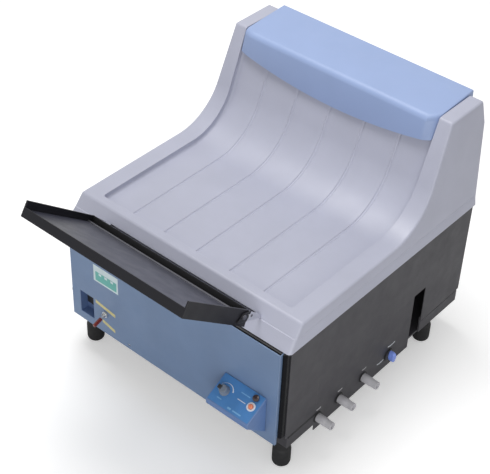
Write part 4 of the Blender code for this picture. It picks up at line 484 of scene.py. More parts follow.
def box_mesh(low: Sequence[float], high: Sequence[float]) -> bmesh.types.BMesh:
    """Return a box between two corners.

    Args:
        low: Lowest corner.
        high: Highest corner.

    Returns:
        A new bmesh.
    """
    bm = bmesh.new()
    size = Vector(high) - Vector(low)
    middle = (Vector(high) + Vector(low)) / 2
    bmesh.ops.create_cube(bm, size=1.0, matrix=Matrix.Translation(middle) @ Matrix.Diagonal((*size, 1.0)))
    return bm


def turned_mesh(profile: Sequence[tuple[float, float]], base: Sequence[float], axis: Sequence[float],
                steps: int = 48) -> bmesh.types.BMesh:
    """Return a solid turned from a profile with the spin operator.

    Args:
        profile: (radius, distance along the axis) points. It may start and end on the axis.
        base: Where the axis starts.
        axis: The axis's direction.
        steps: Steps round the axis.

    Returns:
        A new closed bmesh.
    """
    direction = Vector(axis).normalized()
    side = direction.orthogonal().normalized()
    origin = Vector(base)
    bm = bmesh.new()
    chain = [bm.verts.new(origin + direction * along + side * radius) for radius, along in profile]
    edges = [bm.edges.new(pair) for pair in zip(chain, chain[1:])]
    bmesh.ops.spin(bm, geom=chain + edges, cent=origin, axis=direction, angle=2 * pi, steps=steps,
                   use_merge=True, use_duplicate=False)
    bmesh.ops.remove_doubles(bm, verts=bm.verts[:], dist=1e-7)
    bmesh.ops.dissolve_degenerate(bm, edges=bm.edges[:], dist=1e-7)
    return bm


def grow(bm: bmesh.types.BMesh, faces: Sequence[bmesh.types.BMFace],
         way: Sequence[float]) -> bmesh.types.BMFace:
    """Extrude faces and move their new ends.

    Args:
        bm: The bmesh.
        faces: The faces to extrude.
        way: Where their ends go.

    Returns:
        The first of the end faces.
    """
    grown = bmesh.ops.extrude_face_region(bm, geom=faces)["geom"]
    verts = [item for item in grown if isinstance(item, bmesh.types.BMVert)]
    bmesh.ops.translate(bm, verts=verts, vec=way)
    return next(item for item in grown if isinstance(item, bmesh.types.BMFace))


class Sketch:
    """An outline in one plane, drawn with lines and spun arcs and then extruded."""

    def __init__(self, plane: Plane, u: float, v: float) -> None:
        """Start the outline at a point.

        Args:
            plane: The plane to draw in.
            u: First coordinate.
            v: Second coordinate.
        """
        self.plane = plane
        self.bm = bmesh.new()
        self.first = self.bm.verts.new(plane.point(u, v))
        self.last = self.first

    def line(self, u: float, v: float) -> "Sketch":
        """Draw a line on to a point and return the sketch."""
        vert = self.bm.verts.new(self.plane.point(u, v))
        self.bm.edges.new((self.last, vert))
        self.last = vert
        return self

    def arc(self, centre_u: float, centre_v: float, angle: float, steps: int) -> "Sketch":
        """Spin the last point about a centre.

        Args:
            centre_u: First coordinate of the centre.
            centre_v: Second coordinate of the centre.
            angle: How far the arc turns.
            steps: Its number of pieces.

        Returns:
            The sketch.
        """
        spun = bmesh.ops.spin(self.bm, geom=[self.last], cent=self.plane.point(centre_u, centre_v),
                              axis=self.plane.turn, angle=angle, steps=steps)
        self.last = next(item for item in spun["geom_last"] if isinstance(item, bmesh.types.BMVert))
        return self

    def place(self) -> tuple[float, float]:
        """Return the (u, v) of the last point."""
        co = self.last.co
        return ((co.y, co.z), (co.x, co.z), (co.x, co.y))[self.plane.value]

    def extruded(self, low: float, high: float) -> bmesh.types.BMesh:
        """Close the outline and extrude it between two distances square to its plane.

        Args:
            low: Where the solid starts.
            high: Where it ends.

        Returns:
            The sketch's own bmesh, now a solid.
        """
        bm = self.bm
        if (self.first.co - self.last.co).length > 1e-7:
            bm.edges.new((self.last, self.first))
        bmesh.ops.remove_doubles(bm, verts=bm.verts[:], dist=1e-7)
        face = bmesh.ops.contextual_create(bm, geom=bm.edges[:])["faces"][0]
        bmesh.ops.translate(bm, verts=bm.verts[:], vec=self.plane.point(0.0, 0.0, low))
        grow(bm, [face], self.plane.point(0.0, 0.0, high - low))
        bmesh.ops.recalc_face_normals(bm, faces=bm.faces[:])
        return bm


def rounded_plate(low: tuple[float, float], high: tuple[float, float], corner: float, steps: int) -> Sketch:
    """Draw a rectangle with rounded corners in the level plane.

    Args:
        low: Its lowest (X, Y) corner.
        high: Its highest corner.
        corner: Radius of its corners.
        steps: Pieces in each corner.

    Returns:
        The sketch, not yet closed.
    """
    (left, near), (right, far) = low, high
    sketch = Sketch(Plane.TOP, right, far - corner)
    sketch.arc(right - corner, far - corner, pi / 2, steps).line(left + corner, far)
    sketch.arc(left + corner, far - corner, pi / 2, steps).line(left, near + corner)
    sketch.arc(left + corner, near + corner, pi / 2, steps).line(right - corner, near)
    return sketch.arc(right - corner, near + corner, pi / 2, steps)


def bevel_edges(bm: bmesh.types.BMesh, edges: list[bmesh.types.BMEdge], width: float, segments: int) -> None:
    """Round a list of edges.

    Args:
        bm: The bmesh.
        edges: The edges to round.
        width: Width of the rounding on each side.
        segments: Number of its pieces.
    """
    bmesh.ops.bevel(bm, geom=edges, offset=width, offset_type="OFFSET", segments=segments, profile=0.5,
                    affect="EDGES", material=-1, clamp_overlap=True)


def sharp_edges(bm: bmesh.types.BMesh, angle: float = radians(30.0)) -> list[bmesh.types.BMEdge]:
    """Return the edges whose two faces meet at more than an angle."""
    return [edge for edge in bm.edges if len(edge.link_faces) == 2 and edge.calc_face_angle(0.0) > angle]


def scratch_object(bm: bmesh.types.BMesh) -> bpy.types.Object:
    """Return an object in the scene that holds a bmesh, which is freed."""
    bmesh.ops.recalc_face_normals(bm, faces=bm.faces[:])
    mesh = bpy.data.meshes.new("scratch")
    bm.to_mesh(mesh)
    bm.free()
    obj = bpy.data.objects.new("scratch", mesh)
    bpy.context.scene.collection.objects.link(obj)
    return obj


def carved(bm: bmesh.types.BMesh, cuts: Sequence[tuple[Cut, bmesh.types.BMesh]]) -> bmesh.types.BMesh:
    """Use exact Booleans on a solid one after the other.

    Args:
        bm: The solid, which is freed.
        cuts: What is done, and the tool that does it, which is freed too.

    Returns:
        A new bmesh with the result.
    """
    body = scratch_object(bm)
    tools = []
    for cut, tool_mesh in cuts:
        tool = scratch_object(tool_mesh)
        modifier = body.modifiers.new("cut", "BOOLEAN")
        modifier.operation = cut.value
        modifier.solver = "EXACT"
        modifier.object = tool
        tools.append(tool)
    graph = bpy.context.evaluated_depsgraph_get()
    result = bmesh.new()
    result.from_object(body, graph)
    for obj in [body, *tools]:
        mesh = obj.data
        bpy.data.objects.remove(obj, do_unlink=True)
        bpy.data.meshes.remove(mesh)
    bmesh.ops.remove_doubles(result, verts=result.verts[:], dist=1e-6)
    return result


def trimmed(bm: bmesh.types.BMesh, place: Vector, outward: Vector) -> bmesh.types.BMesh:
    """Cut a closed bmesh off at a plane, close it again and return it.

    Args:
        bm: The bmesh.
        place: A point of the plane.
        outward: Square to the plane, towards the side that goes.

    Returns:
        The same bmesh.
    """
    bmesh.ops.bisect_plane(bm, geom=[*bm.verts, *bm.edges, *bm.faces], dist=1e-7, plane_co=place,
                           plane_no=outward, clear_outer=True)
    rim = [edge for edge in bm.edges if len(edge.link_faces) == 1]
    bmesh.ops.holes_fill(bm, edges=rim, sides=0)
    return bm


def bend(bm: bmesh.types.BMesh, turn: Matrix, origin: Vector) -> bmesh.types.BMesh:
    """Turn a bmesh about its own origin and move it, and return it."""
    bmesh.ops.transform(bm, matrix=Matrix.Translation(origin) @ turn, verts=bm.verts[:])
    return bm


def finish_piece(name: str, bm: bmesh.types.BMesh, finish: Finish, body: Body, replaces: Sequence[str] = (),
                 smooth: float = radians(35.0), outward: bool = True) -> bpy.types.Object:
    """Turn a bmesh in machine axes into a finished piece of the scene.

    Args:
        name: The piece's name.
        bm: Its mesh, which is freed.
        finish: Its surface.
        body: The body that it rides on.
        replaces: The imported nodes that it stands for.
        smooth: The angle below which edges shade smooth.
        outward: Whether to work out the normals again.

    Returns:
        The object.
    """
    if outward:
        bmesh.ops.recalc_face_normals(bm, faces=bm.faces[:])
    bmesh.ops.translate(bm, verts=bm.verts[:], vec=MACHINE)
    mesh = bpy.data.meshes.new(name)
    bm.to_mesh(mesh)
    bm.free()
    mesh.materials.append(finish.material())
    mesh.shade_smooth()
    mesh.set_sharp_from_angle(angle=smooth)
    obj = bpy.data.objects.new(name, mesh)
    bpy.context.scene.collection.objects.link(obj)
    if replaces:
        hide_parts(*replaces)
    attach(obj, body.value)
    return obj


def round_off(obj: bpy.types.Object, width: float, segments: int = 3, angle: float = radians(35.0)) -> None:
    """Round a piece's sharp edges with a live Bevel modifier.

    Args:
        obj: The piece.
        width: Width of the rounding.
        segments: Number of its pieces.
        angle: Edges sharper than this are rounded.
    """
    modifier = obj.modifiers.new("rounded_edges", "BEVEL")
    modifier.width = width
    modifier.segments = segments
    modifier.limit_method = "ANGLE"
    modifier.angle_limit = angle
    modifier.use_clamp_overlap = True
    modifier.harden_normals = False


def packed_copy(node: str) -> bmesh.types.BMesh:
    """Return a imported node's mesh, merged, with its flat faces made whole, in machine axes.

    Args:
        node: The node's name.

    Returns:
        A new bmesh.
    """
    bm = bmesh.new()
    bm.from_mesh(frame["nodes"][node].data)
    bmesh.ops.remove_doubles(bm, verts=bm.verts[:], dist=2e-6)
    bmesh.ops.dissolve_limit(bm, angle_limit=radians(0.6), verts=bm.verts[:], edges=bm.edges[:],
                             use_dissolve_boundaries=False, delimit={"NORMAL"})
    bmesh.ops.translate(bm, verts=bm.verts[:], vec=-MACHINE)
    return bm


def rounded_copy(node: str, name: str, finish: Finish, body: Body, width: float,
                 segments: int = 3) -> bpy.types.Object:
    """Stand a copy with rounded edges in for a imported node.

    Args:
        node: The node's name.
        name: The new piece's name.
        finish: Its surface.
        body: The body that it rides on.
        width: Width of the rounding.
        segments: Number of its pieces.

    Returns:
        The piece.
    """
    obj = finish_piece(name, packed_copy(node), finish, body, (node,), outward=False)
    round_off(obj, width, segments)
    return obj


# Sub-assemblies

@dataclass
class Case:
    """The folded case: pan, skins, posts, rear and service panels, feet, and black strips of painted shade
    above the pan's band.
    """

    half_width: float = 0.210
    pan_bottom: float = 0.050
    foot_radius: float = 0.0138
    foot_x: float = 0.1915
    foot_y: tuple[float, float] = (0.033, 0.386)
    sheet_round: float = 0.0004
    post_round: float = 0.0016
    pan_front: float = 0.008
    pan_set_back: float = 0.016
    service_drop: float = 0.008
    service_edge: float = 0.002
    gap_shade_sink: float = 0.0010
    gap_shade_proud: float = 0.0002
    gap_shade_start: tuple[float, float] = (0.0215, 0.0707)
    gap_shade_end: tuple[float, float] = (0.0830, 0.0747)

    def build(self) -> None:
        """Build every piece of the case."""
        self.build_pan()
        for side in ("left", "right"):
            rounded_copy(f"side_panel_{side}", f"case_skin_{side}", CASE_GREY, Body.CASE, self.sheet_round)
            rounded_copy(f"corner_post_{side}", f"case_post_{side}", POST_BLACK, Body.CASE,
                         self.post_round, 5)
        rounded_copy("rear_panel", "case_rear_panel", CASE_GREY, Body.CASE, self.sheet_round)
        self.build_service_panel()
        self.build_feet()

    def build_pan(self) -> None:
        """Copy the pan, its front wall set back under the panel, and lay black strips above its band as
        painted shade of the gap under the skins.
        """
        bm = packed_copy("base_pan")
        for vert in bm.verts:
            if vert.co.y < self.pan_front:
                vert.co.y += self.pan_set_back
        pan = finish_piece("case_pan", bm, CASE_GREY, Body.CASE, ("base_pan",), outward=False)
        round_off(pan, self.sheet_round)
        # Thin black strips above the pan's band: painted shade of the gap between pan and side skins.
        for side, sign in (("left", -1), ("right", 1)):
            inner, outer = self.half_width - self.gap_shade_sink, self.half_width + self.gap_shade_proud
            near, far = sorted((sign * inner, sign * outer))
            gap_shade = box_mesh((near, *self.gap_shade_start), (far, *self.gap_shade_end))
            finish_piece(f"pan_seam_{side}", gap_shade, SHADE_AND_COLLAR_BLACK, Body.CASE)

    def build_service_panel(self) -> None:
        """Copy the service panel with its lower edge drawn down."""
        bm = packed_copy("service_panel")
        low = min(vert.co.z for vert in bm.verts)
        for vert in bm.verts:
            if vert.co.z < low + self.service_edge:
                vert.co.z -= self.service_drop
        panel = finish_piece("case_service_panel", bm, CASE_GREY, Body.CASE, ("service_panel",),
                             outward=False)
        round_off(panel, self.sheet_round)

    def build_feet(self) -> None:
        """Turn the four rubber feet, each with a waist and a rounded sole."""
        height = self.pan_bottom - CLEAR
        radius = self.foot_radius
        profile = [(0.0, 0.0), (radius * 0.70, 0.0), (radius * 0.84, 0.0007), (radius * 0.93, 0.0022),
                   (radius * 0.985, 0.0045), (radius, 0.0070), (radius, height * 0.58),
                   (radius * 0.97, height * 0.62), (radius * 0.84, height * 0.66),
                   (radius * 0.82, height * 0.69), (radius * 0.82, height), (0.0, height)]
        for end, y in zip(("front", "rear"), self.foot_y):
            for side, sign in (("left", -1), ("right", 1)):
                bm = turned_mesh(profile, (sign * self.foot_x, y, 0.0), (0, 0, 1), 56)
                finish_piece(f"rubber_foot_{end}_{side}", bm, RUBBER, Body.CASE, (f"foot_{end}_{side}",))


@dataclass
class TopCover:
    """The moulded top cover: a laned receiving basin that sweeps up into the dryer tower."""

    rim_bottom: float = 0.2437
    rim_band: float = 0.0175
    rim_proud: float = 0.0016
    band_corner: float = 0.006
    band_easing: float = 0.7
    band_round: float = 0.0008
    rim_top: float = 0.280
    rim_half_width: float = 0.2108
    draft: float = 0.055
    front: float = 0.009
    fascia_top_y: float = 0.036
    sweep_start: float = 0.2441
    sweep_radius: float = 0.090
    sweep_angle: float = radians(69.0)
    sweep_steps: int = 44
    cheek_top: float = 0.430
    rear: float = 0.4545
    chamfer_drop: float = 0.040
    chamfer_depth: float = 0.011
    wall: float = 0.003
    edge_round: float = 0.0035
    cut_round: float = 0.0007
    tool_clear: float = 0.02
    overcut: float = 0.002
    basin_half_width: float = 0.1785
    basin_front: float = 0.050
    basin_depth: float = 0.0095
    basin_fillet: float = 0.0045
    lane_pitch: float = 0.0620
    lane_count: int = 6
    groove_radius: float = 0.0030
    groove_depth: float = 0.0016
    groove_gap: float = 0.004
    groove_run: float = 0.12
    basin_lip: float = 0.400
    opening_front: float = 0.3165
    opening_rear: float = 0.4415
    rear_top: float = 0.404
    slot_half_width: float = 0.135
    slot_low: float = 0.2620
    slot_high: float = 0.2640
    seal_drop: float = 0.0085
    seal_margin: float = 0.0035
    seal_above: float = 0.0008
    seal_thick: float = 0.0008
    seal_corner: float = 0.0012
    seal_gap: float = 0.0002
    rod_radius: float = 0.0027
    rod_place: tuple[float, float] = (0.4385, 0.4225)

    def half_width(self, z: float) -> float:
        """Return the drafted half width at a height."""
        return self.rim_half_width - self.draft * (z - self.rim_bottom)

    def outline(self, inset: float, depth: float) -> Sketch:
        """Draw the cover's side outline.

        Args:
            inset: How far it is drawn in at the front and the rear.
            depth: How far it is lowered square to the sweep.

        Returns:
            The sketch, not yet closed.
        """
        bottom = self.rim_bottom if inset == 0.0 else self.rim_bottom - self.wall
        top = self.cheek_top - depth
        centre = (self.sweep_start, self.rim_top + self.sweep_radius)
        sketch = Sketch(Plane.SIDE, self.front + inset, bottom)
        sketch.line(self.fascia_top_y + inset, self.rim_top - depth)
        sketch.line(self.sweep_start, self.rim_top - depth).arc(*centre, self.sweep_angle, self.sweep_steps)
        y, z = sketch.place()
        sketch.line(y + (top - z) / tan(self.sweep_angle), top)
        back = self.rear - inset
        sketch.line(back - self.chamfer_depth, top).line(back, self.cheek_top - self.chamfer_drop)
        return sketch.line(back, bottom)

    def drafted(self, bm: bmesh.types.BMesh, inset: float) -> bmesh.types.BMesh:
        """Give a prism across the machine the cover's drafted sides, and return it."""
        for vert in bm.verts:
            side = 1.0 if vert.co.x > 0 else -1.0
            vert.co.x = side * (self.half_width(vert.co.z) - inset)
        return bm

    def outer(self) -> bmesh.types.BMesh:
        """Return the outer form with its rounded edges."""
        bm = self.drafted(self.outline(0.0, 0.0).extruded(-1.0, 1.0), 0.0)
        bottom = [edge for edge in sharp_edges(bm)
                  if min(vert.co.z for vert in edge.verts) > self.rim_bottom + 1e-4
                  or abs(edge.verts[0].co.z - edge.verts[1].co.z) > 0.01]
        bevel_edges(bm, bottom, self.edge_round, 6)
        return bm

    def band(self) -> bmesh.types.BMesh:
        """Return the proud band round the cover's foot."""
        half = self.rim_half_width + self.rim_proud
        low = self.front - self.rim_proud
        high = self.rear + self.rim_proud
        sketch = rounded_plate((-half, low), (half, high), self.band_corner, 10)
        bm = sketch.extruded(self.rim_bottom, self.rim_bottom + self.rim_band)
        easing = self.rim_proud * self.band_easing
        lean = easing + self.draft * self.rim_band
        slope = (self.fascia_top_y - self.front) / (self.rim_top - self.rim_bottom)
        for vert in bm.verts:
            if vert.co.z > self.rim_bottom + self.rim_band / 2:
                vert.co.x -= lean if vert.co.x > 0 else -lean
                vert.co.y += self.rim_band * slope if vert.co.y < (low + high) / 2 else -easing
        top = [edge for edge in sharp_edges(bm)
               if min(vert.co.z for vert in edge.verts) > self.rim_bottom + self.rim_band / 2]
        bevel_edges(bm, top, self.band_round, 3)
        return bm

    def basin(self) -> bmesh.types.BMesh:
        """Return the cutter of the receiving basin, with its rounded floor edges."""
        clear = self.cheek_top + self.tool_clear
        deep = self.rim_top - self.basin_depth
        centre = (self.sweep_start, self.rim_top + self.sweep_radius)
        sketch = Sketch(Plane.SIDE, self.basin_front, clear)
        sketch.line(self.basin_front, deep).line(self.sweep_start, deep)
        sketch.arc(*centre, self.sweep_angle, self.sweep_steps)
        y, z = sketch.place()
        sketch.line(y + (clear - z) / tan(self.sweep_angle), clear)
        bm = sketch.extruded(-self.basin_half_width, self.basin_half_width)
        bevel_edges(bm, sharp_edges(bm), self.basin_fillet, 7)
        return bm

    def grooves(self) -> bmesh.types.BMesh:
        """Return the cutter of the shallow grooves that part the lanes."""
        depth = self.basin_depth - self.groove_radius + self.groove_depth
        centre = Vector((0.0, self.sweep_start, self.rim_top + self.sweep_radius))
        start = self.basin_front + self.basin_fillet + self.groove_gap
        rise = Vector((0.0, cos(self.sweep_angle), sin(self.sweep_angle)))
        bm = bmesh.new()
        for lane in range(1, self.lane_count):
            x = (lane - self.lane_count / 2) * self.lane_pitch
            place = Matrix.Translation((x, start, self.rim_top - depth)) @ Matrix.Rotation(pi / 2, 4, "X")
            ring = bmesh.ops.create_circle(bm, cap_ends=True, segments=20, radius=self.groove_radius,
                                           matrix=place)
            face = ring["verts"][0].link_faces[0]
            face = grow(bm, [face], (0.0, self.sweep_start - start, 0.0))
            swept = bmesh.ops.spin(bm, geom=[face, *face.edges, *face.verts], cent=centre, axis=(1, 0, 0),
                                   angle=self.sweep_angle, steps=self.sweep_steps)["geom_last"]
            face = next(item for item in swept if isinstance(item, bmesh.types.BMFace))
            grow(bm, [face], rise * self.groove_run)
        stray = [face for face in bm.faces if all(len(edge.link_faces) > 2 for edge in face.edges)]
        bmesh.ops.delete(bm, geom=stray, context="FACES_ONLY")
        return bm

    def hollow(self) -> bmesh.types.BMesh:
        """Return the cutter for the inside, one wall behind the outer faces."""
        half = self.basin_half_width + 0.001
        middle = self.outline(self.wall, self.basin_depth + self.wall).extruded(-half, half)
        sides = []
        for side in (-1, 1):
            cheek = self.outline(self.wall, self.wall).extruded(0.0, 1.0)
            for vert in cheek.verts:
                outer = self.half_width(vert.co.z) - self.wall
                vert.co.x = side * (outer if vert.co.x > 0.5 else self.basin_half_width + self.wall)
            sides.append((Cut.ONTO, cheek))
        return carved(middle, sides)

    def build(self) -> None:
        """Carve the cover and round the edges that the cuts leave."""
        clear = self.cheek_top + self.tool_clear
        half = self.basin_half_width - CLEAR
        reach = self.basin_half_width + 2 * self.wall
        rod_y, rod_z = self.rod_place
        rod = turned_mesh([(0.0, -reach), (self.rod_radius, -reach), (self.rod_radius, reach), (0.0, reach)],
                          (0.0, rod_y, rod_z), (1, 0, 0), 32)
        exit_mouth = box_mesh((-half, self.opening_front, self.basin_lip), (half, self.opening_rear, clear))
        rear_notch = box_mesh((-half, self.opening_rear - self.overcut, self.rear_top),
                              (half, self.rear + self.tool_clear, clear))
        slot = box_mesh((-self.slot_half_width, self.front - self.tool_clear, self.slot_low),
                        (self.slot_half_width, self.fascia_top_y + 2 * self.wall, self.slot_high))
        bm = carved(self.outer(), (
            (Cut.ONTO, self.band()),
            (Cut.AWAY, self.basin()),
            (Cut.AWAY, self.grooves()),
            (Cut.AWAY, self.hollow()),
            (Cut.AWAY, exit_mouth),
            (Cut.AWAY, rear_notch),
            (Cut.AWAY, slot),
            (Cut.AWAY, rod),
        ))
        cover = finish_piece("moulded_cover", bm, COVER_GREY, Body.COVER, ("top_cover",), radians(32.0))
        round_off(cover, self.cut_round, angle=radians(42.0))
        self.slot_seal_and_shade()

    def slot_seal_and_shade(self) -> None:
        """Lay a black sheet on the cover's sloping front round the feed slot: partly its light seal, partly
        painted shade of the dark gap behind the tray.
        """
        slope = atan2(self.rim_top - self.rim_bottom, self.fascia_top_y - self.front)
        turn = Matrix.Rotation(slope, 4, "X")
        origin = Vector((0.0, self.front, self.rim_bottom))
        half = self.slot_half_width
        low = (self.slot_low - self.rim_bottom) / sin(slope)
        high = (self.slot_high - self.rim_bottom) / sin(slope)
        margin, gap, thick = self.seal_margin, self.seal_gap, self.seal_thick
        outer = rounded_plate((-half - margin, low - self.seal_drop),
                              (half + margin, high + self.seal_above), self.seal_corner, 5)
        sheet = outer.extruded(0.0001, thick)
        hole = box_mesh((-half - gap, low - gap, -thick), (half + gap, high + gap, 2 * thick))
        seal = bend(carved(sheet, ((Cut.AWAY, hole),)), turn, origin)
        # Black sheet round the slot: partly a light seal, partly painted shade behind the tray's back edge.
        finish_piece("feed_slot_seal", seal, SHADE_AND_COLLAR_BLACK, Body.COVER)


@dataclass
class Hood:
    """The pale blue hood over the exit, with a bowed front edge and faceted ends."""

    half_width: float = 0.1768
    top: float = 0.4344
    front_top: float = 0.4305
    fold_y: float = 0.3525
    front_y: float = 0.3465
    edge_centre: float = 0.3765
    bow: float = 0.019
    rear: float = 0.4530
    skirt: float = 0.0225
    wall: float = 0.0026
    fold_radius: float = 0.0105
    facet_start: float = 0.1640
    facet_low: float = 0.0050
    facet_high: float = 0.0150
    left_share: float = 0.35
    lip: float = 0.400
    stations: int = 56
    fold_steps: int = 8
    rear_round: float = 0.003
    rear_steps: int = 4
    end_round: float = 0.0016
    edge_round: float = 0.0006

    def set_back(self, x: float) -> tuple[float, float]:
        """Return how far the lower edge and the fold are set back at a distance from the middle."""
        beyond = max(0.0, abs(x) - self.facet_start) / (self.half_width - self.facet_start)
        share = beyond if x > 0 else beyond * self.left_share
        return self.facet_low * share, self.facet_high * share

    def row(self, bm: bmesh.types.BMesh, x: float) -> list[bmesh.types.BMVert]:
        """Draw one station of the hood from its lower edge, over the fold, to the rear skirt.

        Args:
            bm: The bmesh.
            x: The station's place across the machine.

        Returns:
            Its vertices in order.
        """
        slope = atan2(self.front_top - self.edge_centre, self.fold_y - self.front_y)
        edge_z = self.edge_centre + self.bow * (x / self.half_width) ** 2
        edge_y = self.front_y + (edge_z - self.edge_centre) / tan(slope)
        low_back, high_back = self.set_back(x)
        first = bm.verts.new((x, edge_y + low_back, edge_z))
        centre = Vector((x, self.fold_y + self.fold_radius + high_back, self.front_top - self.fold_radius))
        start_angle = pi / 2 + slope
        start = bm.verts.new(centre + self.fold_radius * Vector((0.0, cos(start_angle), sin(start_angle))))
        chain = [first, start]
        for step in range(1, self.fold_steps + 1):
            angle = start_angle + (pi / 2 - start_angle) * step / self.fold_steps
            chain.append(bm.verts.new(centre + self.fold_radius * Vector((0.0, cos(angle), sin(angle)))))
        corner = self.rear_round
        for step in range(self.rear_steps + 1):
            angle = pi / 2 - step * pi / 2 / self.rear_steps
            chain.append(bm.verts.new((x, self.rear - corner + corner * cos(angle),
                                       self.top - corner + corner * sin(angle))))
        chain.append(bm.verts.new((x, self.rear, self.top - self.skirt)))
        return chain

    def build(self) -> None:
        """Skin the stations, close the ends, round their edges and give the hood its wall."""
        places = {self.half_width, self.facet_start}
        places |= {self.facet_start * step / (self.stations / 2) for step in range(self.stations // 2)}
        ordered = sorted({sign * place for sign in (-1, 1) for place in places})
        bm = bmesh.new()
        rows = [self.row(bm, x) for x in ordered]
        for left, right in zip(rows, rows[1:]):
            for index in range(len(left) - 1):
                bm.faces.new((left[index], right[index], right[index + 1], left[index + 1]))
        for row in (rows[0], rows[-1]):
            place = (row[0].co.x, self.front_y + self.facet_high + 0.002, self.lip + 2.5 * self.wall)
            inner = bm.verts.new(place)
            bm.faces.new([*row, inner])
        bmesh.ops.remove_doubles(bm, verts=bm.verts[:], dist=1e-7)
        bmesh.ops.recalc_face_normals(bm, faces=bm.faces[:])
        ends = [edge for edge in bm.edges if len(edge.link_faces) == 2
                and all(abs(vert.co.x) > self.half_width - 1e-6 for vert in edge.verts)]
        bevel_edges(bm, ends, self.end_round, 4)
        hood = finish_piece("exit_hood", bm, HOOD_BLUE, Body.HOOD, ("hood",), radians(40.0), outward=False)
        shell = hood.modifiers.new("wall", "SOLIDIFY")
        shell.thickness = self.wall
        shell.offset = -1.0
        shell.use_even_offset = True
        round_off(hood, self.edge_round, angle=radians(60.0))


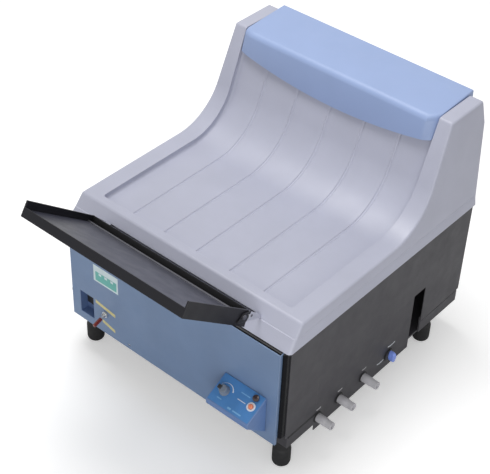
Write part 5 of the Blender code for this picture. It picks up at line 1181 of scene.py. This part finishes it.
@dataclass
class FeedTray:
    """The black feed tray and the two brackets that hold it on the cover.

    Places in the tray are (along, up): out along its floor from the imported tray's back edge, and up square
    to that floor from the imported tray's underside.
    """

    half_width: float = 0.146
    wall: float = 0.0022
    tilt: float = radians(37.5)
    back: tuple[float, float] = (-0.0105, 0.2760)
    over: float = 0.040
    under: float = -0.020
    plate_slope: float = 1.06
    top_front: tuple[float, float] = (0.1494, 0.0205)
    top_back: tuple[float, float] = (0.0, 0.0175)
    foot_back: tuple[float, float] = (-0.0075, -0.0070)
    foot_front: tuple[float, float] = (0.1474, -0.0030)
    front_height: float = 0.0108
    floor_level: float = 0.0080
    trough_level: float = 0.0040
    trough_end: float = 0.0063
    pivot: tuple[float, float] = (0.0090, 0.0080)
    pivot_radius: float = 0.0022
    running_gap: float = 0.0005
    plate_start: float = -0.0030
    plate_sheet: float = 0.0018
    screw_place: tuple[float, float] = (0.0012, 0.2807)
    screw_radius: float = 0.0021
    mouth: tuple[float, float] = (0.120, 0.170)
    edge_round: float = 0.0006
    plate_round: float = 0.0003
    tab_sheet: float = 0.0004

    def point(self, along: float, up: float) -> tuple[float, float]:
        """Return the (Y, Z) of a place in the tray."""
        y, z = self.back
        return (y - along * cos(self.tilt) + up * sin(self.tilt),
                z + along * sin(self.tilt) + up * cos(self.tilt))

    def prism(self, corners: Sequence[tuple[float, float]], half: float) -> bmesh.types.BMesh:
        """Return a prism across the machine.

        Args:
            corners: Its outline as places in the tray.
            half: Half its width.

        Returns:
            A new bmesh.
        """
        sketch = Sketch(Plane.SIDE, *self.point(*corners[0]))
        for corner in corners[1:]:
            sketch.line(*self.point(*corner))
        return sketch.extruded(-half, half)

    def pan(self) -> None:
        """Carve the pan: its floor half way up its walls, and the trough for the rod at its back."""
        wall = self.wall
        inner = self.half_width - wall
        lean = (self.top_back[0] - self.foot_back[0]) / (self.top_back[1] - self.foot_back[1])
        above, below = self.over, self.under

        def back_face(up: float) -> tuple[float, float]:
            """Return the place on the back wall's inner face at a height."""
            return self.top_back[0] + wall + (min(up, self.top_back[1]) - self.top_back[1]) * lean, up

        inside = [back_face(self.trough_level), back_face(self.top_back[1]), back_face(above),
                  (self.top_front[0] - wall, above), (self.foot_front[0] - wall + 0.0009, self.floor_level),
                  (self.trough_end, self.floor_level), (self.trough_end, self.trough_level)]
        beneath = [back_face(below), back_face(self.trough_level - wall),
                   (self.trough_end + wall, self.trough_level - wall),
                   (self.trough_end + 3 * wall, self.floor_level - wall),
                   (self.foot_front[0] - wall + 0.0007, self.floor_level - wall),
                   (self.foot_front[0] - wall - 0.0014, below)]
        near, far = self.mouth
        opening = [(near, self.front_height), (near, above), (far, above), (far, self.front_height)]
        reach = self.half_width + wall
        radius = self.pivot_radius + self.running_gap
        bore = turned_mesh([(0.0, -reach), (radius, -reach), (radius, reach), (0.0, reach)],
                           (0.0, *self.point(*self.pivot)), (1, 0, 0), 40)
        outer = self.prism((self.top_front, self.top_back, self.foot_back, self.foot_front), self.half_width)
        bm = carved(outer, ((Cut.AWAY, self.prism(inside, inner)), (Cut.AWAY, self.prism(beneath, inner)),
                            (Cut.AWAY, self.prism(opening, inner)), (Cut.AWAY, bore)))
        pan = finish_piece("tray_pan", bm, TRAY_BLACK, Body.TRAY, ("feed_tray",))
        # Floor faces take the paler copy of the tray's black: painted light on the up-facing floor.
        pan.data.materials.append(TRAY_FLOOR_LIT.material())
        # Trough faces behind the rod take black: painted shade in that cavity.
        pan.data.materials.append(SHADE_AND_COLLAR_BLACK.material())
        floor_up = Vector((0.0, sin(self.tilt), cos(self.tilt)))
        origin = Vector((0.0, *self.back))
        for face in pan.data.polygons:
            place = face.center - MACHINE - origin
            along = -place.y * cos(self.tilt) + place.z * sin(self.tilt)
            up = place.dot(floor_up)
            if abs(place.x) < inner + 0.0001 and self.trough_level - 0.001 < up < self.top_back[1] + 0.001:
                if along < self.trough_end + 0.001:
                    face.material_index = 2
                elif face.normal.dot(floor_up) > 0.9 and abs(up - self.floor_level) < 0.0005:
                    face.material_index = 1
        round_off(pan, self.edge_round)

    def bracket(self, side: str, sign: int) -> None:
        """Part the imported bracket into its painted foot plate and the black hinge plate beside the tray.

        Args:
            side: Which bracket.
            sign: -1 for the left, 1 for the right.
        """
        node = f"tray_bracket_{side}"
        low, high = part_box(node)
        face = max(abs(low.x - MACHINE.x), abs(high.x - MACHINE.x)) - self.plate_sheet
        out = Vector((0.0, -cos(self.tilt), sin(self.tilt)))
        cut = Vector((0.0, *self.point(self.plate_start, 0.0)))
        foot = trimmed(packed_copy(node), cut, out)
        foot = trimmed(foot, Vector((0.0, *self.point(*self.top_back))),
                       Vector((0.0, self.plate_slope, 1.0)).normalized())
        hinge = trimmed(packed_copy(node), cut, -out)
        hinge = trimmed(hinge, Vector((sign * face, 0.0, 0.0)), Vector((-sign, 0.0, 0.0)))
        plate = finish_piece(f"tray_plate_{side}", foot, BRACKET_PAINT, Body.COVER, (node,))
        round_off(plate, self.plate_round, 2)
        arm = finish_piece(f"tray_hinge_{side}", hinge, TRAY_BLACK, Body.COVER, (node,))
        round_off(arm, self.plate_round, 2)
        y, z = self.screw_place
        surface = sign * (face + self.plate_sheet)
        near, far = sorted((surface, surface + sign * self.tab_sheet))
        tab = box_mesh((near, y - 0.0042, z - 0.0045), (far, y - 0.0006, z + 0.0045))
        bevel_edges(tab, tab.edges[:], 0.00015, 2)
        finish_piece(f"tray_tab_{side}", tab, ZINC, Body.COVER)
        radius = self.screw_radius
        head = turned_mesh([(0.0, 0.0), (radius, 0.0), (radius, 0.0003), (radius * 0.86, 0.0007),
                            (0.0, 0.0008)],
                           (surface, y + 0.0016, z - 0.0010), (sign, 0, 0), 32)
        finish_piece(f"tray_screw_{side}", head, BLACKED_STEEL, Body.COVER)

    def build(self) -> None:
        """Build the pan and both brackets."""
        self.pan()
        self.bracket("left", -1)
        self.bracket("right", 1)


@dataclass
class FrontPanel:
    """The blue front panel with its pocket, the strips beside its toggle and its blank labels."""

    strip_height: float = 0.0060
    sheet: float = 0.0001
    half_width: float = 0.2005
    top: float = 0.2421
    shade_strip_sheet: float = 0.0009
    shade_strip_reach: tuple[float, float] = (0.0042, 0.0150)
    pocket_low: tuple[float, float] = (-0.190, 0.075)
    pocket_high: tuple[float, float] = (-0.152, 0.150)
    pocket_depth: float = 0.0022
    dot_half: float = 0.0026
    dot_x: tuple[float, float, float] = (-0.1390, -0.1270, -0.1145)
    dot_z: tuple[float, float] = (0.1790, 0.1832)
    raised: float = 0.0

    def label(self, name: str, finish: Finish, corners: Sequence[tuple[float, float]]) -> None:
        """Lay a thin blank label on the panel's face.

        Args:
            name: The piece's name.
            finish: Its surface.
            corners: Its (X, Z) corners in order.
        """
        sketch = Sketch(Plane.FRONT, *corners[0])
        for corner in corners[1:]:
            sketch.line(*corner)
        finish_piece(name, sketch.extruded(-self.sheet - self.raised, 0.0), finish, Body.CASE)

    def strip(self, name: str, start: tuple[float, float], end: tuple[float, float]) -> None:
        """Lay a slanted blank strip between two (X, Z) places."""
        half = self.strip_height / 2
        self.label(name, LABEL_YELLOW, ((start[0], start[1] - half), (end[0], end[1] - half),
                                        (end[0], end[1] + half), (start[0], start[1] + half)))

    def rectangle(self, name: str, finish: Finish, low: tuple[float, float],
                  high: tuple[float, float]) -> None:
        """Lay a blank rectangle between two (X, Z) corners."""
        self.label(name, finish, (low, (high[0], low[1]), high, (low[0], high[1])))

    def build(self) -> None:
        """Build the panel and all that is on it, apart from the control pod and the toggle."""
        sheet = rounded_copy("front_panel", "front_sheet", PANEL_BLUE, Body.CASE, 0.0007, 4)
        # Faces inside the pressed pocket take the darker copy of the panel blue: painted shade in the recess.
        sheet.data.materials.append(POCKET_SHADE_BLUE.material())
        (left, low), (right, high) = self.pocket_low, self.pocket_high
        for face in sheet.data.polygons:
            place = face.center - MACHINE
            if self.pocket_depth < place.y and left < place.x < right and low < place.z < high:
                face.material_index = 1
        # A black strip on the panel's top flange: painted shade of the gap under the cover.
        near, far = self.shade_strip_reach
        lip = box_mesh((-self.half_width, near, self.top - self.shade_strip_sheet), (self.half_width, far, self.top))
        bevel_edges(lip, lip.edges[:], 0.0002, 2)
        finish_piece("front_sheet_lip", lip, SHADE_AND_COLLAR_BLACK, Body.CASE)
        self.strip("toggle_strip_upper", (-0.1516, 0.1225), (-0.1101, 0.1159))
        self.strip("toggle_strip_lower", (-0.1380, 0.0908), (-0.1115, 0.0837))
        self.rectangle("side_label_white", LABEL_WHITE, (-0.153, 0.1640), (-0.102, 0.195))
        self.raised = 2 * self.sheet
        self.rectangle("side_label_green", LABEL_GREEN, (-0.1488, 0.1672), (-0.1052, 0.1838))
        self.raised = 3 * self.sheet
        foot, head = self.dot_z
        for number, x in enumerate(self.dot_x, start=1):
            self.rectangle(f"side_label_dot_{number}", LABEL_WHITE, (x - self.dot_half, foot),
                           (x + self.dot_half, head))
        self.raised = 0.0
        # A black plate in the pocket's upper corner: painted shade under the pocket's top.
        shade_plate = box_mesh((-0.1842, 0.0130, 0.0930), (-0.1700, 0.0158, 0.1088))
        bevel_edges(shade_plate, shade_plate.edges[:], 0.0003, 2)
        finish_piece("pocket_socket", shade_plate, SHADE_AND_COLLAR_BLACK, Body.CASE)


@dataclass
class ControlPod:
    """The sloping console: overlay, dial scale, knob and the two buttons."""

    left: float = 0.109
    right: float = 0.185
    top: float = 0.151
    reach: float = 0.041
    drop: float = 0.0215
    knob_x: float = 0.1262
    knob_down: float = 0.0235
    knob_radius: float = 0.0078
    knob_height: float = 0.0105
    button_x: float = 0.1731
    start_down: float = 0.0222
    stop_down: float = 0.0090
    start_radius: float = 0.0042
    cap_radius: float = 0.0035
    stop_radius: float = 0.0050
    stem_radius: float = 0.0030
    well: float = 0.0070
    travel_room: float = 0.0035
    ring_gap: float = 0.0005
    ring_radius: float = 0.0066
    film: float = 0.0002
    film_margin: float = 0.0016
    film_corner: float = 0.0012
    hole_gap: float = 0.0006
    ink: float = 0.00006
    dial_sweep: tuple[float, float] = (radians(-150.0), radians(-18.0))
    dial_radius: float = 0.0118
    dial_width: tuple[float, float] = (0.0004, 0.0018)

    def turn(self) -> Matrix:
        """Return the turn from the level plane to the sloping face: X across, Y down it, Z out of it."""
        slope = atan2(self.drop, self.reach)
        down = Vector((0.0, -cos(slope), -sin(slope)))
        out = Vector((0.0, -sin(slope), cos(slope)))
        return Matrix((Vector((1, 0, 0)), down, out)).transposed().to_4x4()

    def laid(self, bm: bmesh.types.BMesh, x: float = 0.0, down: float = 0.0) -> bmesh.types.BMesh:
        """Lay a level mesh on the sloping face, with its own origin at a place of that face.

        Args:
            bm: The mesh, with X across, Y down the slope and Z out of it.
            x: The place across the machine.
            down: The place down the slope.

        Returns:
            The same bmesh.
        """
        turn = self.turn()
        origin = Vector((x, 0.0, self.top)) + turn.to_3x3() @ Vector((0.0, down, 0.0))
        bend(bm, turn, origin)
        bmesh.ops.recalc_face_normals(bm, faces=bm.faces[:])
        return bm

    def overlay(self) -> None:
        """Build the blue overlay with its holes for the knob and the buttons."""
        margin = self.film_margin
        length = hypot(self.reach, self.drop)
        sketch = rounded_plate((self.left + margin, margin * 0.8), (self.right - margin, length - margin),
                               self.film_corner, 6)
        sheet = sketch.extruded(0.0, self.film)
        holes = []
        for x, down, radius in ((self.knob_x, self.knob_down, self.knob_radius * 0.5),
                                (self.button_x, self.start_down, self.start_radius + self.hole_gap),
                                (self.button_x, self.stop_down, self.stop_radius * 0.7 + self.hole_gap)):
            hole = turned_mesh([(0.0, -0.001), (radius, -0.001), (radius, 0.001), (0.0, 0.001)],
                               (x, down, 0.0), (0, 0, 1), 32)
            holes.append((Cut.AWAY, hole))
        finish_piece("pod_overlay", self.laid(carved(sheet, holes)), LABEL_BLUE, Body.CASE)

    def bar(self, name: str, finish: Finish, x: float, down: float, length: float, width: float) -> None:
        """Print a short bar on the overlay, starting at a place and running across the machine."""
        low = (x, down - width / 2, self.film)
        high = (x + length, down + width / 2, self.film + self.ink)
        finish_piece(name, self.laid(box_mesh(low, high)), finish, Body.CASE)

    def dial(self) -> None:
        """Print the dial's swelling arc round the knob."""
        start, end = self.dial_sweep
        radius = self.dial_radius
        narrow, wide = self.dial_width
        bm = bmesh.new()
        rim = bm.verts.new((radius * cos(start), radius * sin(start), self.film))
        outer = bm.verts.new(((radius + narrow) * cos(start), (radius + narrow) * sin(start), self.film))
        edge = bm.edges.new((rim, outer))
        bmesh.ops.spin(bm, geom=[rim, outer, edge], cent=(0, 0, 0), axis=(0, 0, 1), angle=end - start,
                       steps=30)
        for vert in bm.verts:
            reach = hypot(vert.co.x, vert.co.y)
            if reach > radius + narrow / 2:
                share = (atan2(vert.co.y, vert.co.x) - start) / (end - start)
                swell = 1.0 + (wide - narrow) * share ** 2 / reach
                vert.co.x *= swell
                vert.co.y *= swell
        grow(bm, bm.faces[:], (0.0, 0.0, self.ink))
        finish_piece("dial_arc", self.laid(bm, self.knob_x, self.knob_down), INK_WHITE, Body.CASE)

    def knob(self) -> None:
        """Turn the grey knob and inlay its black pointer."""
        radius, height = self.knob_radius, self.knob_height
        spindle = radius * 0.35
        top = CLEAR + height
        foot = -self.well * 0.8
        profile = [(0.0, foot), (spindle, foot), (spindle, CLEAR), (radius * 0.97, CLEAR),
                   (radius, CLEAR + 0.0004), (radius, CLEAR + 0.0014), (radius * 0.96, CLEAR + 0.0020),
                   (radius * 0.86, CLEAR + 0.0028), (radius * 0.80, top - 0.0013),
                   (radius * 0.77, top - 0.0005), (radius * 0.70, top), (0.0, top)]
        bm = turned_mesh(profile, (0, 0, 0), (0, 0, 1), 72)
        finish_piece("timer_knob_body", self.laid(bm, self.knob_x, self.knob_down), KNOB_GREY, Body.TIMER,
                     ("timer_knob",))
        pointer = box_mesh((-radius * 1.05, -0.0030, top - 0.0046), (-radius * 0.20, 0.0030, top + 0.0010))
        bevel_edges(pointer, pointer.edges[:], 0.0010, 4)
        finish_piece("timer_knob_pointer", self.laid(pointer, self.knob_x, self.knob_down), BLACK_PLASTIC,
                     Body.TIMER)

    def buttons(self) -> None:
        """Turn the orange start button in its white ring and the dark stop button."""
        bottom = -self.well + self.travel_room
        radius = self.start_radius
        cap = self.cap_radius
        profile = [(0.0, bottom), (radius, bottom), (radius, -0.0004), (cap, 0.0), (cap, 0.0032),
                   (cap * 0.94, 0.0038), (cap * 0.80, 0.0042), (cap * 0.45, 0.0044), (0.0, 0.0045)]
        bm = turned_mesh(profile, (0, 0, 0), (0, 0, 1), 48)
        finish_piece("start_button_cap", self.laid(bm, self.button_x, self.start_down), BUTTON_ORANGE,
                     Body.START, ("start_button",))
        inner, outer = cap + self.ring_gap, self.ring_radius
        rim = [(inner, 0.0002), (outer, 0.0002), (outer, 0.0009), (outer - 0.0003, 0.0012),
               (inner + 0.0003, 0.0014), (inner, 0.0011), (inner, 0.0002)]
        ring = turned_mesh(rim, (0, 0, 0), (0, 0, 1), 48)
        finish_piece("start_button_ring", self.laid(ring, self.button_x, self.start_down), INK_WHITE,
                     Body.CASE)
        radius = self.stop_radius
        stem = self.stem_radius
        profile = [(0.0, bottom), (stem, bottom), (stem, 0.0033), (radius * 0.96, 0.0033), (radius, 0.0037),
                   (radius, 0.0050), (radius * 0.94, 0.0055), (radius * 0.80, 0.0058), (0.0, 0.0060)]
        bm = turned_mesh(profile, (0, 0, 0), (0, 0, 1), 48)
        finish_piece("stop_button_cap", self.laid(bm, self.button_x, self.stop_down), BUTTON_DARK, Body.STOP,
                     ("stop_button",))

    def build(self) -> None:
        """Build the pod and all that is on it."""
        rounded_copy("control_pod", "pod_body", POD_BLUE, Body.CASE, 0.0004)
        self.overlay()
        self.dial()
        self.bar("dial_zero_mark", INK_PALE_BLUE, self.knob_x - 0.0045, self.knob_down + 0.0125,
                 0.0085, 0.0014)
        self.bar("stop_mark", INK_PALE_BLUE, 0.1480, 0.0122, 0.0160, 0.0013)
        self.bar("start_mark", INK_WHITE, 0.1492, 0.0228, 0.0140, 0.0010)
        self.bar("lower_mark_short", INK_PALE_BLUE, 0.1445, 0.0405, 0.0060, 0.0028)
        self.bar("lower_mark_long", INK_PALE_BLUE, 0.1535, 0.0405, 0.0150, 0.0020)
        self.knob()
        self.buttons()


@dataclass
class SideFittings:
    """The drain spigots, the inlet valve and the blank marks above them on the right-hand side."""

    face: float = 0.2084
    spigot_y: tuple[float, float, float] = (0.0900, 0.1405, 0.1990)
    spigot_z: float = 0.0600
    barrel_radius: float = 0.0068
    tip_radius: float = 0.0063
    tip: float = 0.2365
    droop: float = radians(1.5)
    pipe_start: float = 0.1543
    pipe_radius: float = 0.0046
    valve_y: float = 0.264
    valve_z: float = 0.0600
    oval: float = 0.46
    body_share: float = 0.45
    knob_length: float = 0.0095
    mark_width: float = 0.0016
    mark_bow: float = 1.4
    ink: float = 0.00008

    def spigot(self, number: int, y: float) -> None:
        """Turn one drooping hose barrel with its stepped tip and bore.

        Args:
            number: The spigot's number from the front.
            y: Its place.
        """
        face = self.face + CLEAR
        barrel, tip_radius = self.barrel_radius, self.tip_radius
        profile = [(0.0, self.pipe_start), (self.pipe_radius, self.pipe_start), (self.pipe_radius, face),
                   (barrel * 0.80, face), (barrel * 0.92, face + 0.0004), (barrel, face + 0.0015),
                   (barrel, self.tip - 0.0110), (barrel * 0.96, self.tip - 0.0103),
                   (tip_radius, self.tip - 0.0090), (tip_radius, self.tip - 0.0006),
                   (tip_radius * 0.92, self.tip), (tip_radius * 0.66, self.tip),
                   (tip_radius * 0.62, self.tip - 0.0006), (tip_radius * 0.62, self.tip - 0.0120),
                   (0.0, self.tip - 0.0120)]
        bm = turned_mesh(profile, (0.0, y, self.spigot_z), (1, 0, 0), 40)
        for vert in bm.verts:
            beyond = vert.co.x - face
            if beyond > 0.0:
                vert.co.z -= beyond * tan(self.droop)
        finish_piece(f"spigot_barrel_{number}", bm, HOSE_GREY, Body.CASE, (f"drain_spigot_{number}",))

    def collar(self, number: int, y: float) -> None:
        """Turn the black rubber collar where a barrel leaves the panel."""
        inner = self.barrel_radius * 0.80
        outer = self.barrel_radius * 1.38
        profile = [(inner, 0.0001), (outer * 0.94, 0.0001), (outer, 0.0005), (outer, 0.0011),
                   (outer * 0.92, 0.0016), (inner, 0.0016), (inner, 0.0001)]
        bm = turned_mesh(profile, (self.face, y, self.spigot_z), (1, 0, 0), 40)
        finish_piece(f"spigot_collar_{number}", bm, SHADE_AND_COLLAR_BLACK, Body.CASE)

    def mark(self, name: str, y: float, z: float, length: float, finish: Finish = INK_GREY) -> None:
        """Print a short bowed blank mark on the service panel.

        Args:
            name: The piece's name.
            y: The middle of the mark.
            z: Its height.
            length: Its length.
            finish: Its ink.
        """
        half = length / 2
        bow = length * self.mark_bow
        span = 2 * atan2(half, bow)
        bm = bmesh.new()
        lower = bm.verts.new((self.face, y - half, z))
        upper = bm.verts.new((self.face, y - half, z + self.mark_width))
        edge = bm.edges.new((lower, upper))
        bmesh.ops.spin(bm, geom=[lower, upper, edge], cent=(self.face, y, z + bow), axis=(1, 0, 0),
                       angle=span, steps=10)
        grow(bm, bm.faces[:], (self.ink, 0.0, 0.0))
        finish_piece(name, bm, finish, Body.CASE)

    def valve_knob(self) -> None:
        """Set the valve's body in, and turn its knob and draw it in to an oval grip."""
        low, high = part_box("inlet_valve_knob")
        low, high = low - MACHINE, high - MACHINE
        body = packed_copy("inlet_valve_body")
        for vert in body.verts:
            beyond = vert.co.x - self.face
            if beyond > 0.0:
                vert.co.x = self.face + beyond * self.body_share
        finish_piece("valve_body", body, BLACK_PLASTIC, Body.CASE, ("inlet_valve_body",), outward=False)
        radius = (high.z - low.z) / 2
        length = self.knob_length
        start = self.face + (low.x - self.face) * self.body_share
        bore = radius * 0.30
        profile = [(bore, 0.0), (radius * 0.88, 0.0), (radius * 0.97, 0.0008), (radius, 0.0020),
                   (radius, length * 0.66), (radius * 0.97, length * 0.80), (radius * 0.90, length * 0.92),
                   (radius * 0.78, length), (0.0, length), (0.0, length * 0.6), (bore, length * 0.6),
                   (bore, 0.0)]
        bm = turned_mesh(profile, (start, self.valve_y, self.valve_z), (1, 0, 0), 56)
        for vert in bm.verts:
            away = vert.co.y - self.valve_y
            reach = hypot(away, vert.co.z - self.valve_z)
            if reach > bore + 1e-5:
                vert.co.y = self.valve_y + away * self.oval
        finish_piece("valve_knob_cap", bm, VALVE_BLUE, Body.VALVE, ("inlet_valve_knob",))

    def build(self) -> None:
        """Build the fittings and their marks."""
        for number, y in enumerate(self.spigot_y, start=1):
            self.spigot(number, y)
            self.collar(number, y)
            self.mark(f"spigot_mark_{number}", y + 0.002, self.spigot_z + 0.0150, 0.011)
        self.mark("valve_mark_upper", self.valve_y + 0.006, self.valve_z + 0.0165, 0.019, INK_WHITE)
        self.mark("valve_mark_side", self.valve_y - 0.0200, self.valve_z - 0.0030, 0.017, INK_WHITE)
        self.valve_knob()


@dataclass
class Workings:
    """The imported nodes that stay, each in its own finish."""

    def build(self) -> None:
        """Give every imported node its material."""
        finishes = {node: finish for finish, nodes in PACKED_NODES for node in nodes}
        for name, obj in frame["nodes"].items():
            finish = finishes[name]
            obj.data.materials.clear()
            obj.data.materials.append(finish.material())
            if not obj.hide_render:
                obj.data.shade_smooth()
                obj.data.set_sharp_from_angle(angle=radians(35.0))


@dataclass
class Studio:
    """The pale floor, the soft lamps and the camera."""

    camera_place: tuple[float, float, float] = (0.9264, -0.9671, 1.4334)
    camera_right: tuple[float, float, float] = (0.7558, 0.6540, 0.0325)
    camera_up: tuple[float, float, float] = (-0.4343, 0.4635, 0.7723)
    lens: float = 94.54
    sensor: float = 36.0
    far_clip: float = 50.0
    floor_half: float = 6.0
    floor_albedo: float = 0.90
    floor_glow: float = 0.35
    world_strength: float = 0.40
    aim: tuple[float, float, float] = (0.0, 0.0, 0.2)
    key_place: tuple[float, float, float] = (-0.40, 0.10, 2.4)
    key_size: float = 1.2
    key_power: float = 30.0
    side_place: tuple[float, float, float] = (1.4, -1.8, 0.9)
    side_size: float = 1.4
    side_power: float = 16.0

    def floor(self) -> None:
        """Lay the pale floor, which glows a little towards the camera alone."""
        bm = bmesh.new()
        bmesh.ops.create_grid(bm, x_segments=1, y_segments=1, size=self.floor_half)
        mesh = bpy.data.meshes.new("studio_floor")
        bm.to_mesh(mesh)
        bm.free()
        mat = bpy.data.materials.new("studio_floor")
        mat.use_nodes = True
        tree = mat.node_tree
        shader = tree.nodes["Principled BSDF"]
        shader.inputs["Base Color"].default_value = (*[self.floor_albedo] * 3, 1.0)
        shader.inputs["Roughness"].default_value = 0.9
        shader.inputs["Emission Color"].default_value = (1.0, 1.0, 1.0, 1.0)
        rays = tree.nodes.new("ShaderNodeLightPath")
        seen = tree.nodes.new("ShaderNodeMath")
        seen.operation = "MULTIPLY"
        seen.inputs[1].default_value = self.floor_glow
        tree.links.new(rays.outputs["Is Camera Ray"], seen.inputs[0])
        tree.links.new(seen.outputs["Value"], shader.inputs["Emission Strength"])
        mesh.materials.append(mat)
        obj = bpy.data.objects.new("studio_floor", mesh)
        bpy.context.scene.collection.objects.link(obj)

    def world(self) -> None:
        """Light the scene from a plain sky that the camera, gloss and glass see as white."""
        world = bpy.data.worlds.new("studio_world")
        bpy.context.scene.world = world
        world.use_nodes = True
        tree = world.node_tree
        background = tree.nodes["Background"]
        background.inputs["Color"].default_value = (1.0, 1.0, 1.0, 1.0)
        rays = tree.nodes.new("ShaderNodeLightPath")
        seen = rays.outputs["Is Camera Ray"]
        for other in ("Is Transmission Ray", "Is Glossy Ray"):
            either = tree.nodes.new("ShaderNodeMath")
            either.operation = "MAXIMUM"
            tree.links.new(seen, either.inputs[0])
            tree.links.new(rays.outputs[other], either.inputs[1])
            seen = either.outputs["Value"]
        tree.links.new(map_range(tree, seen, (0.0, 1.0), (self.world_strength, 1.0)),
                       background.inputs["Strength"])

    def lamp(self, name: str, place: tuple[float, float, float], size: float, power: float) -> None:
        """Hang one soft square lamp that points at the machine.

        Args:
            name: The lamp's name.
            place: Where it hangs.
            size: The length of its side.
            power: Its power in watts.
        """
        light = bpy.data.lights.new(name, "AREA")
        light.size = size
        light.energy = power
        obj = bpy.data.objects.new(name, light)
        obj.location = place
        obj.rotation_euler = (Vector(self.aim) - Vector(place)).to_track_quat("-Z", "Y").to_euler()
        bpy.context.scene.collection.objects.link(obj)

    def camera(self) -> None:
        """Set the camera up at the photograph's angle."""
        right = Vector(self.camera_right).normalized()
        up = Vector(self.camera_up)
        up = (up - right * up.dot(right)).normalized()
        back = right.cross(up)
        data = bpy.data.cameras.new("studio_camera")
        data.lens = self.lens
        data.sensor_width = self.sensor
        data.clip_end = self.far_clip
        obj = bpy.data.objects.new("studio_camera", data)
        turn = Matrix((right, up, back)).transposed().to_4x4()
        obj.matrix_world = Matrix.Translation(Vector(self.camera_place) + MACHINE) @ turn
        bpy.context.scene.collection.objects.link(obj)
        bpy.context.scene.camera = obj

    def build(self) -> None:
        """Set the whole studio up."""
        self.floor()
        self.world()
        self.lamp("key_lamp", self.key_place, self.key_size, self.key_power)
        self.lamp("side_lamp", self.side_place, self.side_size, self.side_power)
        self.camera()
        bpy.context.scene.view_settings.view_transform = "Standard"


def main() -> None:
    """Dress the machine, one sub-assembly after the other, and set the studio up."""
    logging.basicConfig(level=logging.INFO, format="%(name)s: %(message)s")
    for part in (Case(), TopCover(), Hood(), FeedTray(), FrontPanel(), ControlPod(), SideFittings(),
                 Workings(),
                 Studio()):
        known = set(bpy.data.objects)
        part.build()
        for obj in sorted(set(bpy.data.objects) - known, key=lambda item: item.name):
            log.info("%s: built %s", type(part).__name__, obj.name)


if __name__ == "__main__":
    main()
